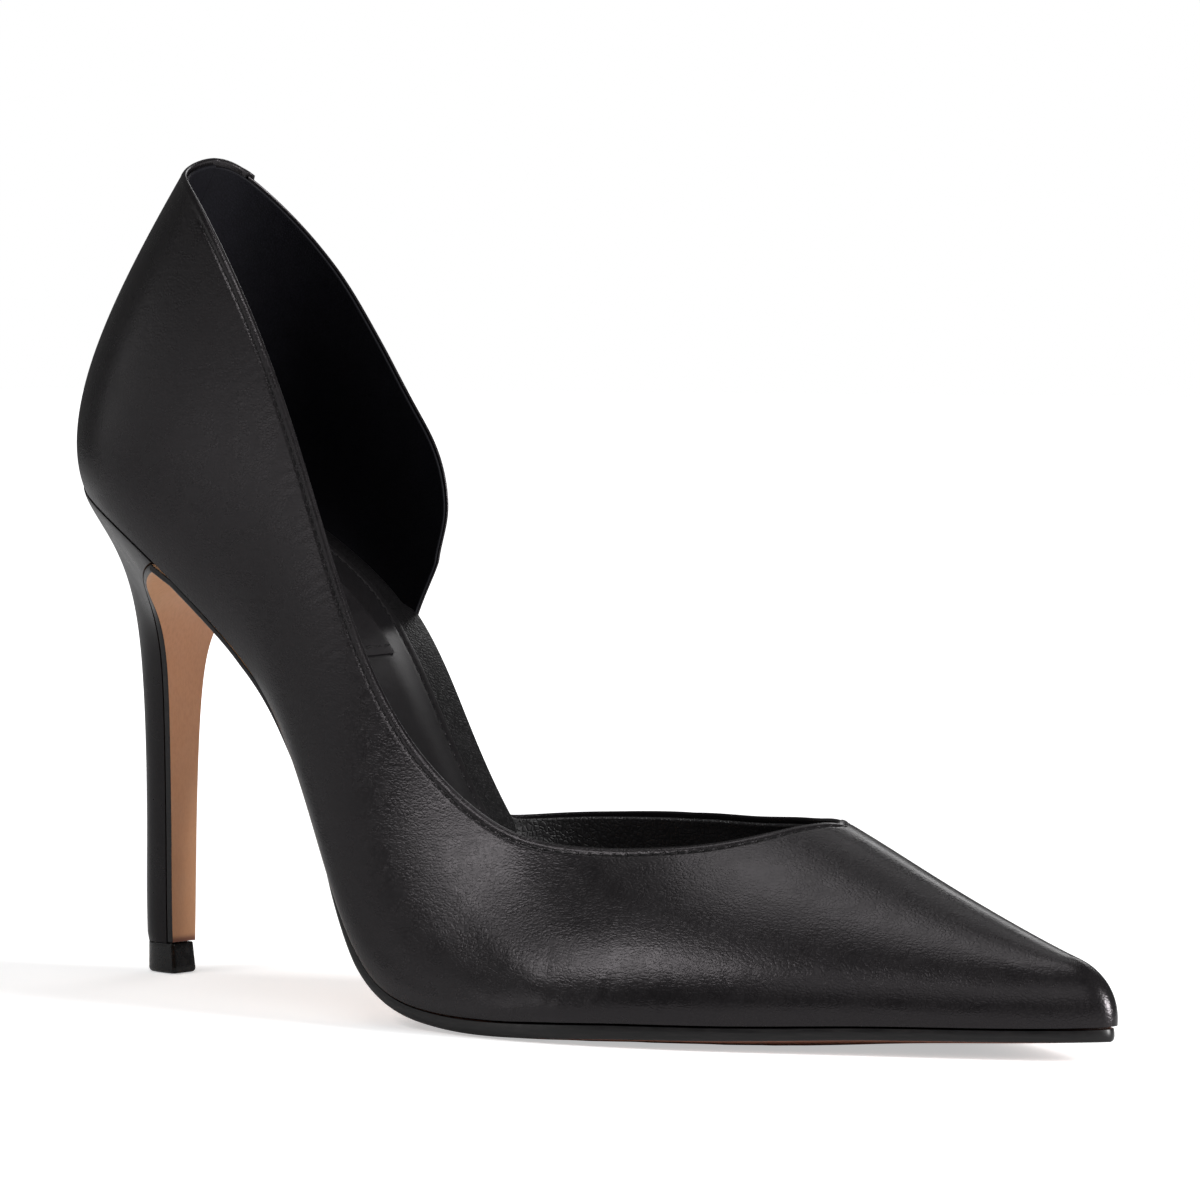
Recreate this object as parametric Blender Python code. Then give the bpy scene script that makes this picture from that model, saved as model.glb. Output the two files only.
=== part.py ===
"""Half d'Orsay pump, a right shoe on a slim stiletto heel, standing empty on the floor z = 0.

The toe points towards +X and the inner side of the foot is +Y. Sizes are in millimetres and become
metres where a mesh is made. Every main form comes from the last, whose surface is worked out below.
"""

from math import pi

import bmesh
import bpy
import numpy as np

MM = 0.001

# Driving sizes
SHOE_LENGTH = 222.0
BALL_WIDTH = 75.0
HEEL_HEIGHT = 91.0
LAST_HEIGHT = 151.0
WALL = 1.6
GAP = 0.3

# The middle of the shoe's box, in the last's own measure from the back of the heel
CENTRE_X = 110.5
CENTRE_Y = -1.9

# The last, one row for each section. A section starts at the feather line, where upper and sole meet, and
# climbs to the rim. station and rim_x are shares of the length, outer, inner and rim_y of the ball width,
# seat of the heel height and rim_z of the last height, all in percent. The rest are millimetres: arch is
# what the inner feather line stands above the outer one, flare and rise shape the foot of the wall, and
# shoulder and drop shape its top.
LAST_COLUMNS = (
    "station", "outer", "inner", "seat", "arch", "rim_x", "rim_y", "rim_z",
    "flare", "rise", "shoulder", "drop",
)
LAST_ROWS = (
    (0.0, 0.0, 0.0, 100.0, 0.0, 12.1, 0.0, 100.0, 5.0, 14.0, 17.0, 29.0),
    (2.2, 16.8, 16.8, 98.2, 0.0, 13.9, 11.3, 100.0, 5.0, 14.0, 17.0, 29.0),
    (7.1, 29.0, 29.2, 94.4, 0.0, 18.4, 21.3, 98.0, 6.0, 14.0, 10.0, 28.0),
    (13.9, 33.6, 33.3, 85.5, 0.5, 25.1, 26.7, 92.7, 6.0, 14.0, 5.5, 26.0),
    (21.1, 33.3, 34.0, 72.7, 1.0, 32.3, 28.0, 84.1, 5.0, 14.0, 5.0, 26.0),
    (28.3, 34.7, 27.0, 56.6, 1.2, 39.5, 25.3, 71.5, 5.0, 13.0, 7.0, 24.0),
    (35.5, 42.0, 22.6, 32.6, 1.0, 45.9, 20.0, 58.3, 5.0, 11.0, 10.0, 18.0),
    (42.7, 49.9, 30.0, 10.7, 0.6, 51.7, 13.3, 45.0, 5.0, 9.0, 14.0, 12.0),
    (49.9, 52.7, 41.0, 4.0, 0.3, 57.6, 6.7, 35.8, 4.0, 9.0, 16.0, 6.0),
    (58.0, 52.7, 47.3, 3.5, 0.0, 63.4, 1.3, 30.1, 4.0, 9.0, 16.0, 2.0),
    (66.1, 48.7, 47.3, 4.3, 0.0, 68.8, 0.0, 26.8, 4.0, 10.0, 14.0, 0.0),
    (74.2, 40.7, 41.3, 4.7, 0.0, 75.1, 0.0, 23.3, 4.0, 10.0, 11.0, 0.0),
    (83.2, 28.0, 29.3, 5.4, 0.0, 82.8, 0.0, 18.4, 3.0, 9.0, 8.0, 0.0),
    (90.9, 17.1, 18.0, 5.7, 0.0, 89.1, 0.0, 14.6, 2.0, 8.0, 5.5, 0.0),
    (96.3, 9.1, 9.6, 6.0, 0.0, 93.6, 0.0, 12.1, 1.0, 7.0, 4.5, 0.0),
    (100.0, 0.0, 0.0, 6.4, 0.0, 95.9, 0.0, 11.0, 0.5, 6.0, 4.5, 0.0),
)
SHARE_OF = {
    "rim_x": SHOE_LENGTH, "outer": BALL_WIDTH, "inner": BALL_WIDTH, "rim_y": BALL_WIDTH,
    "seat": HEEL_HEIGHT, "rim_z": LAST_HEIGHT,
}

# From the first station the wall begins to lean into the ridge, and from the second its halves meet there
RIDGE_EASE = 49.9
RIDGE_START = 66.1

# Where the topline cuts the wall: station in percent of the length, and the share of the wall kept below it
THROAT = 74.0
OUTER_TOPLINE = (
    (0.0, 0.957), (2.2, 0.925), (7.1, 0.89), (13.9, 0.794), (21.1, 0.677), (28.3, 0.564), (35.5, 0.523),
    (42.7, 0.554), (49.9, 0.548), (56.2, 0.57), (61.6, 0.607), (66.1, 0.66), (70.1, 0.777), (72.5, 0.905),
    (THROAT, 1.0),
)
QUARTER_TOPLINE = (
    (0.0, 0.957), (2.2, 0.905), (5.8, 0.80), (10.8, 0.655), (14.0, 0.588), (17.1, 0.533), (20.5, 0.459),
    (21.6, 0.411), (22.4, 0.348), (23.05, 0.267), (23.4, 0.156), (23.55, 0.0),
)
WING_TOPLINE = (
    (35.4, 0.0), (36.8, 0.12), (40.4, 0.335), (45.4, 0.483), (49.9, 0.547), (56.2, 0.605), (62.5, 0.666),
    (65.7, 0.704), (68.9, 0.768), (70.8, 0.82), (72.5, 0.91), (THROAT, 1.0),
)

# The outer leather wraps the heel and ends on the inner quarter in a step. Its slope is an angle round the
# foot, in radians.
WRAP_END = 1.65
WRAP_STEP = 0.6
WRAP_SLOPE = 0.006

# Sole, insole and sock. In these tables the first number is the station in percent, and the rest are
# millimetres. Crown is how far the last's underside swells below the feather line where the foot is as wide
# as the ball, edge is the thickness of the sole, and tuck is how far its edge is trimmed in at the waist.
# Breast is the station of the heel's front face at its top, the sole follows the last as far back as its
# turn, and ahead of the forepart's station no part of it goes below the floor.
CROWN = ((0.0, 2.0), (14.0, 2.0), (26.0, 0.3), (40.0, 0.3), (50.0, 1.6), (100.0, 1.6))
SOLE_EDGE = ((15.0, 1.2), (36.0, 1.2), (48.0, 2.1), (75.0, 2.1), (100.0, 2.1))
SOLE_TUCK = (
    (15.0, 0.6), (25.0, 0.0), (30.0, 0.8), (34.0, 1.9), (38.0, 0.9), (42.0, 0.3), (50.0, 0.4), (56.0, 0.0),
    (92.0, 0.0), (100.0, 0.6),
)
BREAST = 15.2
SOLE_TURN = 17.2
FOREPART = 40.0
FLAP_THICKNESS = 1.2
FLAP_BOTTOM = 5.75
INSOLE_SPAN = (1.2, 98.2)
INSOLE_THICKNESS = 2.2
SOCK_SPAN = (4.5, 94.0)
SOCK_THICKNESS = 0.9
SOCK_MARGIN = 6.8
PATCH_SPAN = (13.0, 26.4)
PATCH_HALF_WIDTH = 9.6
PATCH_THICKNESS = 0.4

# How far the insole's edge stands in from the feather line: inside the shell, and in the inner cut-out. It
# changes over from one to the other within an angle round the foot, in radians.
WALL_ROOM = WALL + 0.5
FREE_ROOM = 0.2
NOTCH_SLOPE = 0.012

# Heel shaft, one row for each height: the front face, the depth behind it and the width. The back of a
# section is an arc whose cosine is raised to a power, which makes it a little fuller than an ellipse.
SHAFT_ROWS = (
    (5.7, 15.4, 7.0, 5.9),
    (9.0, 15.4, 7.1, 6.1),
    (25.0, 15.5, 7.1, 6.6),
    (45.0, 15.8, 7.5, 7.8),
    (60.0, 16.2, 8.3, 9.0),
    (92.0, 16.8, 9.5, 10.0),
)

# The flare of the heel under the seat dies away going down, as exp(-(depth / reach) ** power). The rows
# hold reach and power: round the back, then along and across the shoe at the front face.
BACK_SWEEP = (17.0, 1.6)
FRONT_SWEEP = ((4.5, 1.0), (7.0, 1.15))
BACK_FULLNESS = 0.9

# The tip under the heel: the front face, the depth behind it and the width, at its top and at its bottom
LIFT_HEIGHT = 5.4
LIFT_TOP = (16.7, 8.1, 5.7)
LIFT_BOTTOM = (17.3, 8.7, 6.1)
LIFT_ROUND = 0.7
LIFT_BEND = 0.3

# How many points each form is drawn with, and the powers that crowd them where it bends most
WALL_ROWS = 13
OUTER_COLUMNS = 42
VAMP_COLUMNS = 22
WRAP_COLUMNS = 4
QUARTER_COLUMNS = 17
QUARTER_CROWDING = 1.5
WING_COLUMNS = 16
SHEET_ROWS = 7
INSOLE_COLUMNS = 38
SOCK_COLUMNS = 32
PATCH_ROWS = 5
PATCH_COLUMNS = 7
SEAT_ROWS = 9
SEAT_COLUMNS = 12
HEEL_LEVELS = 17
HEEL_CROWDING = 1.9
LIFT_COLUMNS = 19
SOLE_COLUMNS = 44
FLAP_LEVELS = 22
FLAP_CROWDING = 1.7

# Points closer than the sewing reach are one point, and an edge shorter than the second is dropped
SEWING_REACH = 0.01
SHORTEST_EDGE = 0.002

# The angles in degrees past which an edge stays sharp
SHELL_SHARP = 50
SHEET_SHARP = 35
HEEL_SHARP = 40

# The small steps that slopes are measured over: an angle round the foot, and a share of the wall
TURN_STEP = 0.001
SHARE_STEP = 0.001


class Curve:
    """A natural cubic through a few rows. Flat ends make a form run on smoothly round the heel and toe."""

    def __init__(self, places, values, flat_ends=False):
        self.x = np.asarray(places, float)
        self.y = np.asarray(values, float)
        self.h = np.diff(self.x)
        slopes = np.diff(self.y) / self.h
        count = len(self.x)
        matrix = np.eye(count)
        right = np.zeros(count)
        for i in range(1, count - 1):
            matrix[i, i - 1: i + 2] = self.h[i - 1], 2 * (self.h[i - 1] + self.h[i]), self.h[i]
            right[i] = 6 * (slopes[i] - slopes[i - 1])
        if flat_ends:
            matrix[0, :2] = 2 * self.h[0], self.h[0]
            matrix[-1, -2:] = self.h[-1], 2 * self.h[-1]
            right[0] = 6 * slopes[0]
            right[-1] = -6 * slopes[-1]
        self.bend = np.linalg.solve(matrix, right)

    def __call__(self, place):
        place = np.asarray(place, float)
        i = np.clip(np.searchsorted(self.x, place) - 1, 0, len(self.h) - 1)
        a = (self.x[i + 1] - place) / self.h[i]
        b = (place - self.x[i]) / self.h[i]
        bending = (a**3 - a) * self.bend[i] + (b**3 - b) * self.bend[i + 1]
        return a * self.y[i] + b * self.y[i + 1] + bending * self.h[i] ** 2 / 6


def turn_of(station):
    """A station in percent as an angle round the foot: 0 at the back of the heel, pi at the toe."""
    return np.arccos(np.clip(1 - np.asarray(station, float) / 50, -1, 1))


def curve_of(rows):
    """A curve over the turn, from rows of station and value."""
    stations, values = np.array(rows).T
    return Curve(turn_of(stations), values)


def last_curves():
    """One curve over the turn for each column of the last's rows, in millimetres."""
    rows = np.array(LAST_ROWS)
    turns = turn_of(rows[:, 0])
    odd = ("outer", "inner", "rim_y")
    curves = {}
    for column, name in enumerate(LAST_COLUMNS[1:], 1):
        values = rows[:, column]
        if name in SHARE_OF:
            values = values * SHARE_OF[name] / 100
        curves[name] = Curve(turns, values, flat_ends=name not in odd)
    return curves


LAST = last_curves()
CROWN_CURVE = curve_of(CROWN)


def feather(turn, side):
    """The feather line at a turn. side is -1 on the outer half and 1 on the inner half."""
    outer = -LAST["outer"](turn)
    inner = LAST["inner"](turn)
    x = SHOE_LENGTH / 2 * (1 - np.cos(turn))
    z = LAST["seat"](turn) + np.where(side > 0, LAST["arch"](turn), 0)
    return np.stack([x, np.where(side > 0, inner, outer), z], -1)


def rim(turn, side):
    """The line the wall climbs to. Its two halves meet in one ridge along the vamp."""
    apart = np.where(turn < turn_of(RIDGE_START), np.abs(LAST["rim_y"](turn)), 0)
    return np.stack([LAST["rim_x"](turn), side * apart, LAST["rim_z"](turn)], -1)


def outwards(turn, side):
    """The direction that points away from the foot, level with the floor."""
    ahead = feather(np.clip(turn + TURN_STEP, 0, pi), side)
    behind = feather(np.clip(turn - TURN_STEP, 0, pi), side)
    along = (ahead - behind)[..., :2]
    along = along / np.linalg.norm(along, axis=-1, keepdims=True)
    flat = np.stack([-along[..., 1] * side, along[..., 0] * side, 0 * along[..., 0]], -1)
    flat = np.where((turn < TURN_STEP)[..., None], (-1.0, 0.0, 0.0), flat)
    return np.where((turn > pi - TURN_STEP)[..., None], (1.0, 0.0, 0.0), flat)


def ridge_fall(turn):
    """How fast the rim line falls towards the toe, counted only where the two halves meet on the vamp."""
    ahead = np.clip(turn + TURN_STEP, 0, pi)
    behind = np.clip(turn - TURN_STEP, 0, pi)
    run = np.maximum(LAST["rim_x"](ahead) - LAST["rim_x"](behind), 1e-9)
    fall = (LAST["rim_z"](behind) - LAST["rim_z"](ahead)) / run
    joined = (turn - turn_of(RIDGE_EASE)) / (turn_of(RIDGE_START) - turn_of(RIDGE_EASE))
    return fall * np.clip(joined, 0, 1)


def wall(turn, share, side):
    """A point of the last's wall. Each section is a Bezier curve from the feather line to the rim."""
    turn, share = np.broadcast_arrays(np.asarray(turn, float), np.asarray(share, float))
    foot = feather(turn, side)
    top = rim(turn, side)
    out = outwards(turn, side)
    up = np.array([0.0, 0.0, 1.0])
    flare, rise, shoulder, drop = (LAST[name](turn)[..., None] for name in LAST_COLUMNS[-4:])
    low = foot + out * flare + up * rise
    level = ridge_fall(turn)[..., None] * out[..., :1] * shoulder
    high = top + out * shoulder - up * (drop + level)
    w = share[..., None]
    return (1 - w) ** 3 * foot + 3 * w * (1 - w) ** 2 * low + 3 * w**2 * (1 - w) * high + w**3 * top


def topline_share(turn, rows):
    """The share of the wall kept below the topline. Ahead of its last row it is the whole wall."""
    return np.where(turn > turn_of(rows[-1][0]) + 1e-6, 1.0, np.clip(curve_of(rows)(turn), 0, 1))


def normal(turn, share, side):
    """The direction straight out of the wall, from two small steps along it."""
    turn, share = np.broadcast_arrays(np.asarray(turn, float), np.asarray(share, float))
    ahead = wall(np.minimum(turn + TURN_STEP, pi), share, side)
    behind = wall(np.maximum(turn - TURN_STEP, 0), share, side)
    above = wall(turn, np.minimum(share + SHARE_STEP, 1), side)
    under = wall(turn, np.maximum(share - SHARE_STEP, 0), side)
    out = np.cross(ahead - behind, above - under) * -side
    return out / np.linalg.norm(out, axis=-1, keepdims=True)


def height_under(x, y):
    """The height of the last's underside over a point of the floor, inside the feather line."""
    turn = turn_of(100 * x / SHOE_LENGTH)
    outer = -LAST["outer"](turn)
    width = np.maximum(LAST["inner"](turn) - outer, 1e-6)
    blend = np.clip((y - outer) / width, 0, 1)
    swell = CROWN_CURVE(turn) * width / BALL_WIDTH * 4 * blend * (1 - blend)
    return LAST["seat"](turn) + LAST["arch"](turn) * blend - swell


def underside(turn, across, insets=(0.0, 0.0), below=0.0):
    """The last's underside. across runs from -1 at the outer feather line to 1 at the inner one.

    The insets draw the outer and the inner edge in from the feather line, and below moves the surface away
    from the last.
    """
    turn, across = np.broadcast_arrays(turn, across)
    outer_inset, inner_inset = (np.asarray(inset)[..., None] for inset in insets)
    outer = feather(turn, -1) - outwards(turn, -1) * outer_inset
    inner = feather(turn, 1) - outwards(turn, 1) * inner_inset
    blend = (across[..., None] + 1) / 2
    points = outer * (1 - blend) + inner * blend
    points[..., 2] = height_under(points[..., 0], points[..., 1])
    return points + down(turn_of(100 * points[..., 0] / SHOE_LENGTH)) * np.asarray(below)[..., None]


def down(turn):
    """The direction away from the underside, in the upright plane along the shoe."""
    ahead = feather(np.minimum(turn + TURN_STEP, pi), -1)
    behind = feather(np.maximum(turn - TURN_STEP, 0), -1)
    run = (ahead - behind)[..., 0]
    climb = (ahead - behind)[..., 2]
    length = np.hypot(run, climb)
    return np.stack([climb / length, 0 * run, -run / length], -1)


def add_grid(mesh, points, partners=None):
    """Adds a grid of points to a mesh. partners holds the matching points of an inner skin, if any."""
    rows, columns = points.shape[:2]
    layer = mesh.verts.layers.float_vector.get("partner")
    made = np.empty((rows, columns), object)
    for r in range(rows):
        for c in range(columns):
            made[r, c] = mesh.verts.new(placed(points[r, c]))
            if partners is not None:
                made[r, c][layer] = placed(partners[r, c])
    for r in range(rows - 1):
        for c in range(columns - 1):
            mesh.faces.new((made[r, c], made[r, c + 1], made[r + 1, c + 1], made[r + 1, c]))


def placed(point):
    """The point from the middle of the shoe, in metres."""
    return (point - (CENTRE_X, CENTRE_Y, 0)) * MM


def sew(mesh):
    """Merges the points that two grids share, and drops the faces that closed up."""
    bmesh.ops.remove_doubles(mesh, verts=mesh.verts, dist=SEWING_REACH * MM)
    bmesh.ops.dissolve_degenerate(mesh, edges=mesh.edges, dist=SHORTEST_EDGE * MM)


def thicken(mesh):
    """Gives an open skin its inner skin, from the partner of every point, and closes the rim between them."""
    layer = mesh.verts.layers.float_vector["partner"]
    inner = {vert: mesh.verts.new(vert[layer]) for vert in list(mesh.verts)}
    faces = list(mesh.faces)
    borders = [edge for edge in mesh.edges if edge.is_boundary]
    for edge in borders:
        first, last = (corner.vert for corner in (edge.link_loops[0], edge.link_loops[0].link_loop_next))
        mesh.faces.new((last, first, inner[first], inner[last]))
    for face in faces:
        mesh.faces.new([inner[vert] for vert in reversed(face.verts)])


def material(name, colour, roughness):
    made = bpy.data.materials.new(name)
    made.use_nodes = True
    shader = made.node_tree.nodes["Principled BSDF"]
    shader.inputs["Base Color"].default_value = (*colour, 1)
    shader.inputs["Roughness"].default_value = roughness
    shader.inputs["Metallic"].default_value = 0
    made.diffuse_color = (*colour, 1)
    return made


def finish(mesh, name, look, sharp_degrees):
    """Closes the work on a mesh: faces outwards, smooth shading, one named object."""
    bmesh.ops.recalc_face_normals(mesh, faces=mesh.faces)
    data = bpy.data.meshes.new(name)
    mesh.to_mesh(data)
    mesh.free()
    for layer in [layer for layer in data.attributes if layer.name == "partner"]:
        data.attributes.remove(layer)
    data.shade_smooth()
    data.set_sharp_from_angle(angle=sharp_degrees * pi / 180)
    data.materials.append(look)
    made = bpy.data.objects.new(name, data)
    bpy.context.scene.collection.objects.link(made)
    return made


def add_wall(mesh, turns, rows, side, step=None):
    """Adds one half of the shell, from the feather line up to its topline."""
    share = np.linspace(0, 1, WALL_ROWS)[None, :] * topline_share(turns, rows)[:, None]
    points = wall(turns[:, None], share, side)
    out = normal(turns[:, None], share, side)
    outside = points if step is None else points - out * step[:, None, None]
    inside = points - out * WALL
    order = slice(None, None, -side)
    add_grid(mesh, outside[order], inside[order])


def make_upper(look):
    """The lasted shell: outer half, inner quarter and inner wing, sewn at heel, ridge and toe."""
    mesh = bmesh.new()
    mesh.verts.layers.float_vector.new("partner")
    throat = turn_of(THROAT)
    vamp = np.linspace(throat, pi, VAMP_COLUMNS)
    rear = np.linspace(0, throat, OUTER_COLUMNS)[:-1]
    add_wall(mesh, np.concatenate([rear, vamp]), OUTER_TOPLINE, -1)

    wrap = turn_of(WRAP_END)
    start = wrap + WRAP_SLOPE
    crowded = 1 - np.linspace(1, 0, QUARTER_COLUMNS) ** QUARTER_CROWDING
    under = start + (turn_of(QUARTER_TOPLINE[-1][0]) - start) * crowded
    turns = np.concatenate([np.linspace(0, wrap, WRAP_COLUMNS), under])
    step = np.where(turns > wrap + WRAP_SLOPE / 2, WRAP_STEP, 0.0)
    add_wall(mesh, turns, QUARTER_TOPLINE, 1, step)

    wing = np.linspace(turn_of(WING_TOPLINE[0][0]), throat, WING_COLUMNS)[:-1]
    add_wall(mesh, np.concatenate([wing, vamp]), WING_TOPLINE, 1)
    sew(mesh)
    thicken(mesh)
    return finish(mesh, "upper", look, SHELL_SHARP)


def slab(name, look, low, high):
    """A closed sheet between two grids of the same size, sewn round its border."""
    mesh = bmesh.new()
    add_grid(mesh, low)
    add_grid(mesh, high[::-1])
    for edge in (0, -1):
        add_grid(mesh, np.stack([low[edge], high[edge]]))
        add_grid(mesh, np.stack([low[:, edge], high[:, edge]]))
    sew(mesh)
    return finish(mesh, name, look, SHEET_SHARP)


def sheet(name, look, turns, insets, base, thickness):
    """A sheet lying on the last's underside, lifted by base and grown upwards by its thickness."""
    across = np.linspace(-1, 1, SHEET_ROWS)[None, :]
    low, high = (underside(turns[:, None], across, insets, -lift) for lift in (base, base + thickness))
    return slab(name, look, low, high)


def turns_over(span, count):
    """Even turns from one station to another."""
    return np.linspace(turn_of(span[0]), turn_of(span[1]), count)


def make_insole(look):
    """The covered board inside the shell. In the inner cut-out it comes out to the feather line."""
    notch = np.array([turn_of(QUARTER_TOPLINE[-1][0]), turn_of(WING_TOPLINE[0][0])])
    near = NOTCH_SLOPE * np.array([1.0, -1.0])
    turns = np.sort(np.concatenate([turns_over(INSOLE_SPAN, INSOLE_COLUMNS), notch, notch + near]))
    free = (turns > notch[0] + 1e-6) & (turns < notch[1] - 1e-6)
    inner = np.where(free, FREE_ROOM, WALL_ROOM)[:, None]
    return sheet("insole", look, turns, (WALL_ROOM, inner), 0.0, INSOLE_THICKNESS)


def make_sock(look):
    """The sock lining on the insole, drawn in from its edge."""
    turns = turns_over(SOCK_SPAN, SOCK_COLUMNS)
    margins = (SOCK_MARGIN, SOCK_MARGIN)
    return sheet("sock_lining", look, turns, margins, INSOLE_THICKNESS + GAP, SOCK_THICKNESS)


def make_patch(look):
    """The plain patch on the sock under the heel of the foot."""
    turns = turns_over(PATCH_SPAN, PATCH_COLUMNS)
    wide = feather(turns, 1)[:, 1] - feather(turns, -1)[:, 1]
    across = np.linspace(-1, 1, PATCH_ROWS)[None, :] * (2 * PATCH_HALF_WIDTH / wide)[:, None]
    base = INSOLE_THICKNESS + SOCK_THICKNESS + 2 * GAP
    levels = (base, base + PATCH_THICKNESS)
    low, high = (underside(turns[:, None], across, below=-lift) for lift in levels)
    return slab("label_patch", look, low, high)


def shaft(height):
    """The front face, the depth and the width of the shaft at a height."""
    rows = np.array(SHAFT_ROWS)
    return [Curve(rows[:, 0], rows[:, column])(height) for column in (1, 2, 3)]


def heel_section(height, angle, face):
    """A point of the shaft's D section. angle goes round its back and face, from -1 to 1, along its front."""
    front, depth, width = shaft(height)
    x = np.where(np.isnan(face), front - depth * np.cos(angle) ** BACK_FULLNESS, front)
    y = np.where(np.isnan(face), width / 2 * np.sin(angle), width / 2 * face)
    return np.stack([x, y, height + 0 * x], -1)


def swept(start, height, angle, face):
    """Leads a point of the seat down to the shaft."""
    front_share = np.where(np.isnan(face), np.abs(angle) / (pi / 2), 1.0)
    sunk = np.maximum(start[..., 2] - height, 0)
    here = heel_section(height, angle, face)
    flare = start - heel_section(start[..., 2], angle, face)
    for axis, sweep in enumerate(FRONT_SWEEP):
        reach, power = (back + (front - back) * front_share for back, front in zip(BACK_SWEEP, sweep))
        here[..., axis] += flare[..., axis] * np.exp(-((sunk / reach) ** power))
    return here


def heel_top(turns, across):
    """The cupped seat of the heel, a gap below the last's underside."""
    return underside(turns[:, None], across[None, :], below=GAP)


def make_heel(look):
    """The wrapped stiletto: a cupped seat under the upper, swept down to a D shaped shaft."""
    mesh = bmesh.new()
    turns = turns_over((0, BREAST), SEAT_COLUMNS)
    across = np.linspace(-1, 1, SEAT_ROWS)
    seat = heel_top(turns, across)
    add_grid(mesh, seat)
    loop = np.concatenate([seat[::-1, 0], seat[1:, -1], seat[-1, 1:-1][::-1], seat[-1:, 0]])
    back = 2 * len(turns) - 1
    length = np.cumsum(np.linalg.norm(np.diff(loop[:back], axis=0), axis=-1))
    angle = np.concatenate([[0], length / length[-1]]) * pi - pi / 2
    angle = np.concatenate([angle, np.zeros(len(across) - 2), [-pi / 2]])
    face = np.full(len(loop), np.nan)
    face[back:-1] = across[1:-1][::-1]
    fall = np.linspace(0, 1, HEEL_LEVELS)[:, None] ** HEEL_CROWDING
    heights = loop[:, 2] + (SHAFT_ROWS[0][0] - loop[:, 2]) * fall
    add_grid(mesh, swept(loop[None], heights, angle[None], face[None]))
    sew(mesh)
    bmesh.ops.holes_fill(mesh, edges=[edge for edge in mesh.edges if edge.is_boundary])
    return finish(mesh, "heel", look, HEEL_SHARP)


def make_top_lift(look):
    """The tip under the heel: a D that spreads a little to the floor, with a rounded lower edge."""
    mesh = bmesh.new()
    angles = np.linspace(-pi / 2, pi / 2, LIFT_COLUMNS)
    bend = LIFT_ROUND * LIFT_BEND
    rings = []
    for height, pull in ((0.0, LIFT_ROUND), (bend, bend), (LIFT_ROUND, 0), (LIFT_HEIGHT, 0)):
        share = height / LIFT_HEIGHT
        front, depth, width = (low + (top - low) * share for low, top in zip(LIFT_BOTTOM, LIFT_TOP))
        x = front - pull - (depth - 2 * pull) * np.cos(angles) ** BACK_FULLNESS
        y = (width / 2 - pull) * np.sin(angles)
        ring = np.stack([x, y, np.full_like(x, height)], -1)
        rings.append(np.concatenate([ring, ring[:1]]))
    add_grid(mesh, np.array(rings))
    sew(mesh)
    bmesh.ops.holes_fill(mesh, edges=[edge for edge in mesh.edges if edge.is_boundary])
    return finish(mesh, "top_lift", look, HEEL_SHARP)


def breast_face(heights, across):
    """The front face of the heel as a grid of heights by across, from the outer side to the inner one."""
    start = heel_top(np.array([turn_of(BREAST)]), across)
    return swept(start, heights, np.zeros(len(across)), across)


def make_outsole(look):
    """The leather sole from toe to arch, turned down over the front of the heel as a flap."""
    across = np.linspace(-1, 1, SHEET_ROWS)
    turns = turns_over((100, SOLE_TURN), SOLE_COLUMNS)
    stations = (1 - np.cos(turns)) * 50
    edge = curve_of(SOLE_EDGE)(turns)[:, None]
    tuck = np.interp(stations, *np.array(SOLE_TUCK).T)[:, None]
    high = underside(turns[:, None], across[None, :], (tuck, tuck), GAP)
    low = underside(turns[:, None], across[None, :], (tuck, tuck), GAP + edge)
    forepart = (stations > FOREPART)[:, None]
    low[..., 2] = np.where(forepart, np.maximum(low[..., 2], 0), low[..., 2])

    corner = heel_top(np.array([turn_of(BREAST)]), across)[0]
    fall = np.linspace(0, 1, FLAP_LEVELS)[1:, None] ** FLAP_CROWDING
    face = breast_face(corner[:, 2] + (FLAP_BOTTOM - corner[:, 2]) * fall, across)
    middle = np.concatenate([corner[None], face])[:, len(across) // 2]
    run, climb = np.gradient(middle[:, 0])[1:], np.gradient(middle[:, 2])[1:]
    ahead = np.stack([-climb, 0 * run, run], -1) / np.hypot(run, climb)[:, None]
    back = face + ahead[:, None] * GAP
    fore = face + ahead[:, None] * (GAP + FLAP_THICKNESS)
    mitre = fold_direction(down(turns[-1]), ahead[0])
    fold_high = corner + mitre * GAP
    fold_low = corner + mitre * (GAP + FLAP_THICKNESS)
    low = np.concatenate([low, fold_low[None], fore])
    high = np.concatenate([high, fold_high[None], back])
    return slab("outsole", look, low, high)


def fold_direction(first, second):
    """The mitre of two unit directions: their sum, as long as it takes to stand one off both faces."""
    both = first + second
    return both / (1 + np.dot(first, second))


def clear_scene():
    for item in list(bpy.data.objects):
        bpy.data.objects.remove(item, do_unlink=True)


def main():
    clear_scene()
    leather = material("black_leather", (0.018, 0.017, 0.018), 0.42)
    lining = material("black_lining", (0.012, 0.012, 0.012), 0.6)
    tan = material("tan_leather", (0.42, 0.24, 0.13), 0.5)
    plastic = material("black_plastic", (0.01, 0.01, 0.01), 0.3)
    make_upper(leather)
    make_insole(leather)
    make_sock(lining)
    make_patch(lining)
    make_outsole(tan)
    make_heel(leather)
    make_top_lift(plastic)


main()
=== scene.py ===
"""The finished look of a half d'Orsay pump, a right shoe standing empty on a pale floor.

Every visible surface is worked out from the shoe's own last, in millimetres, and becomes metres where a
mesh is made. The toe points along +X and the inner side of the foot is +Y.
"""

import logging
from dataclasses import dataclass, field
from enum import IntEnum
from math import cos, pi, radians, sin
from typing import Callable, Sequence

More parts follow.
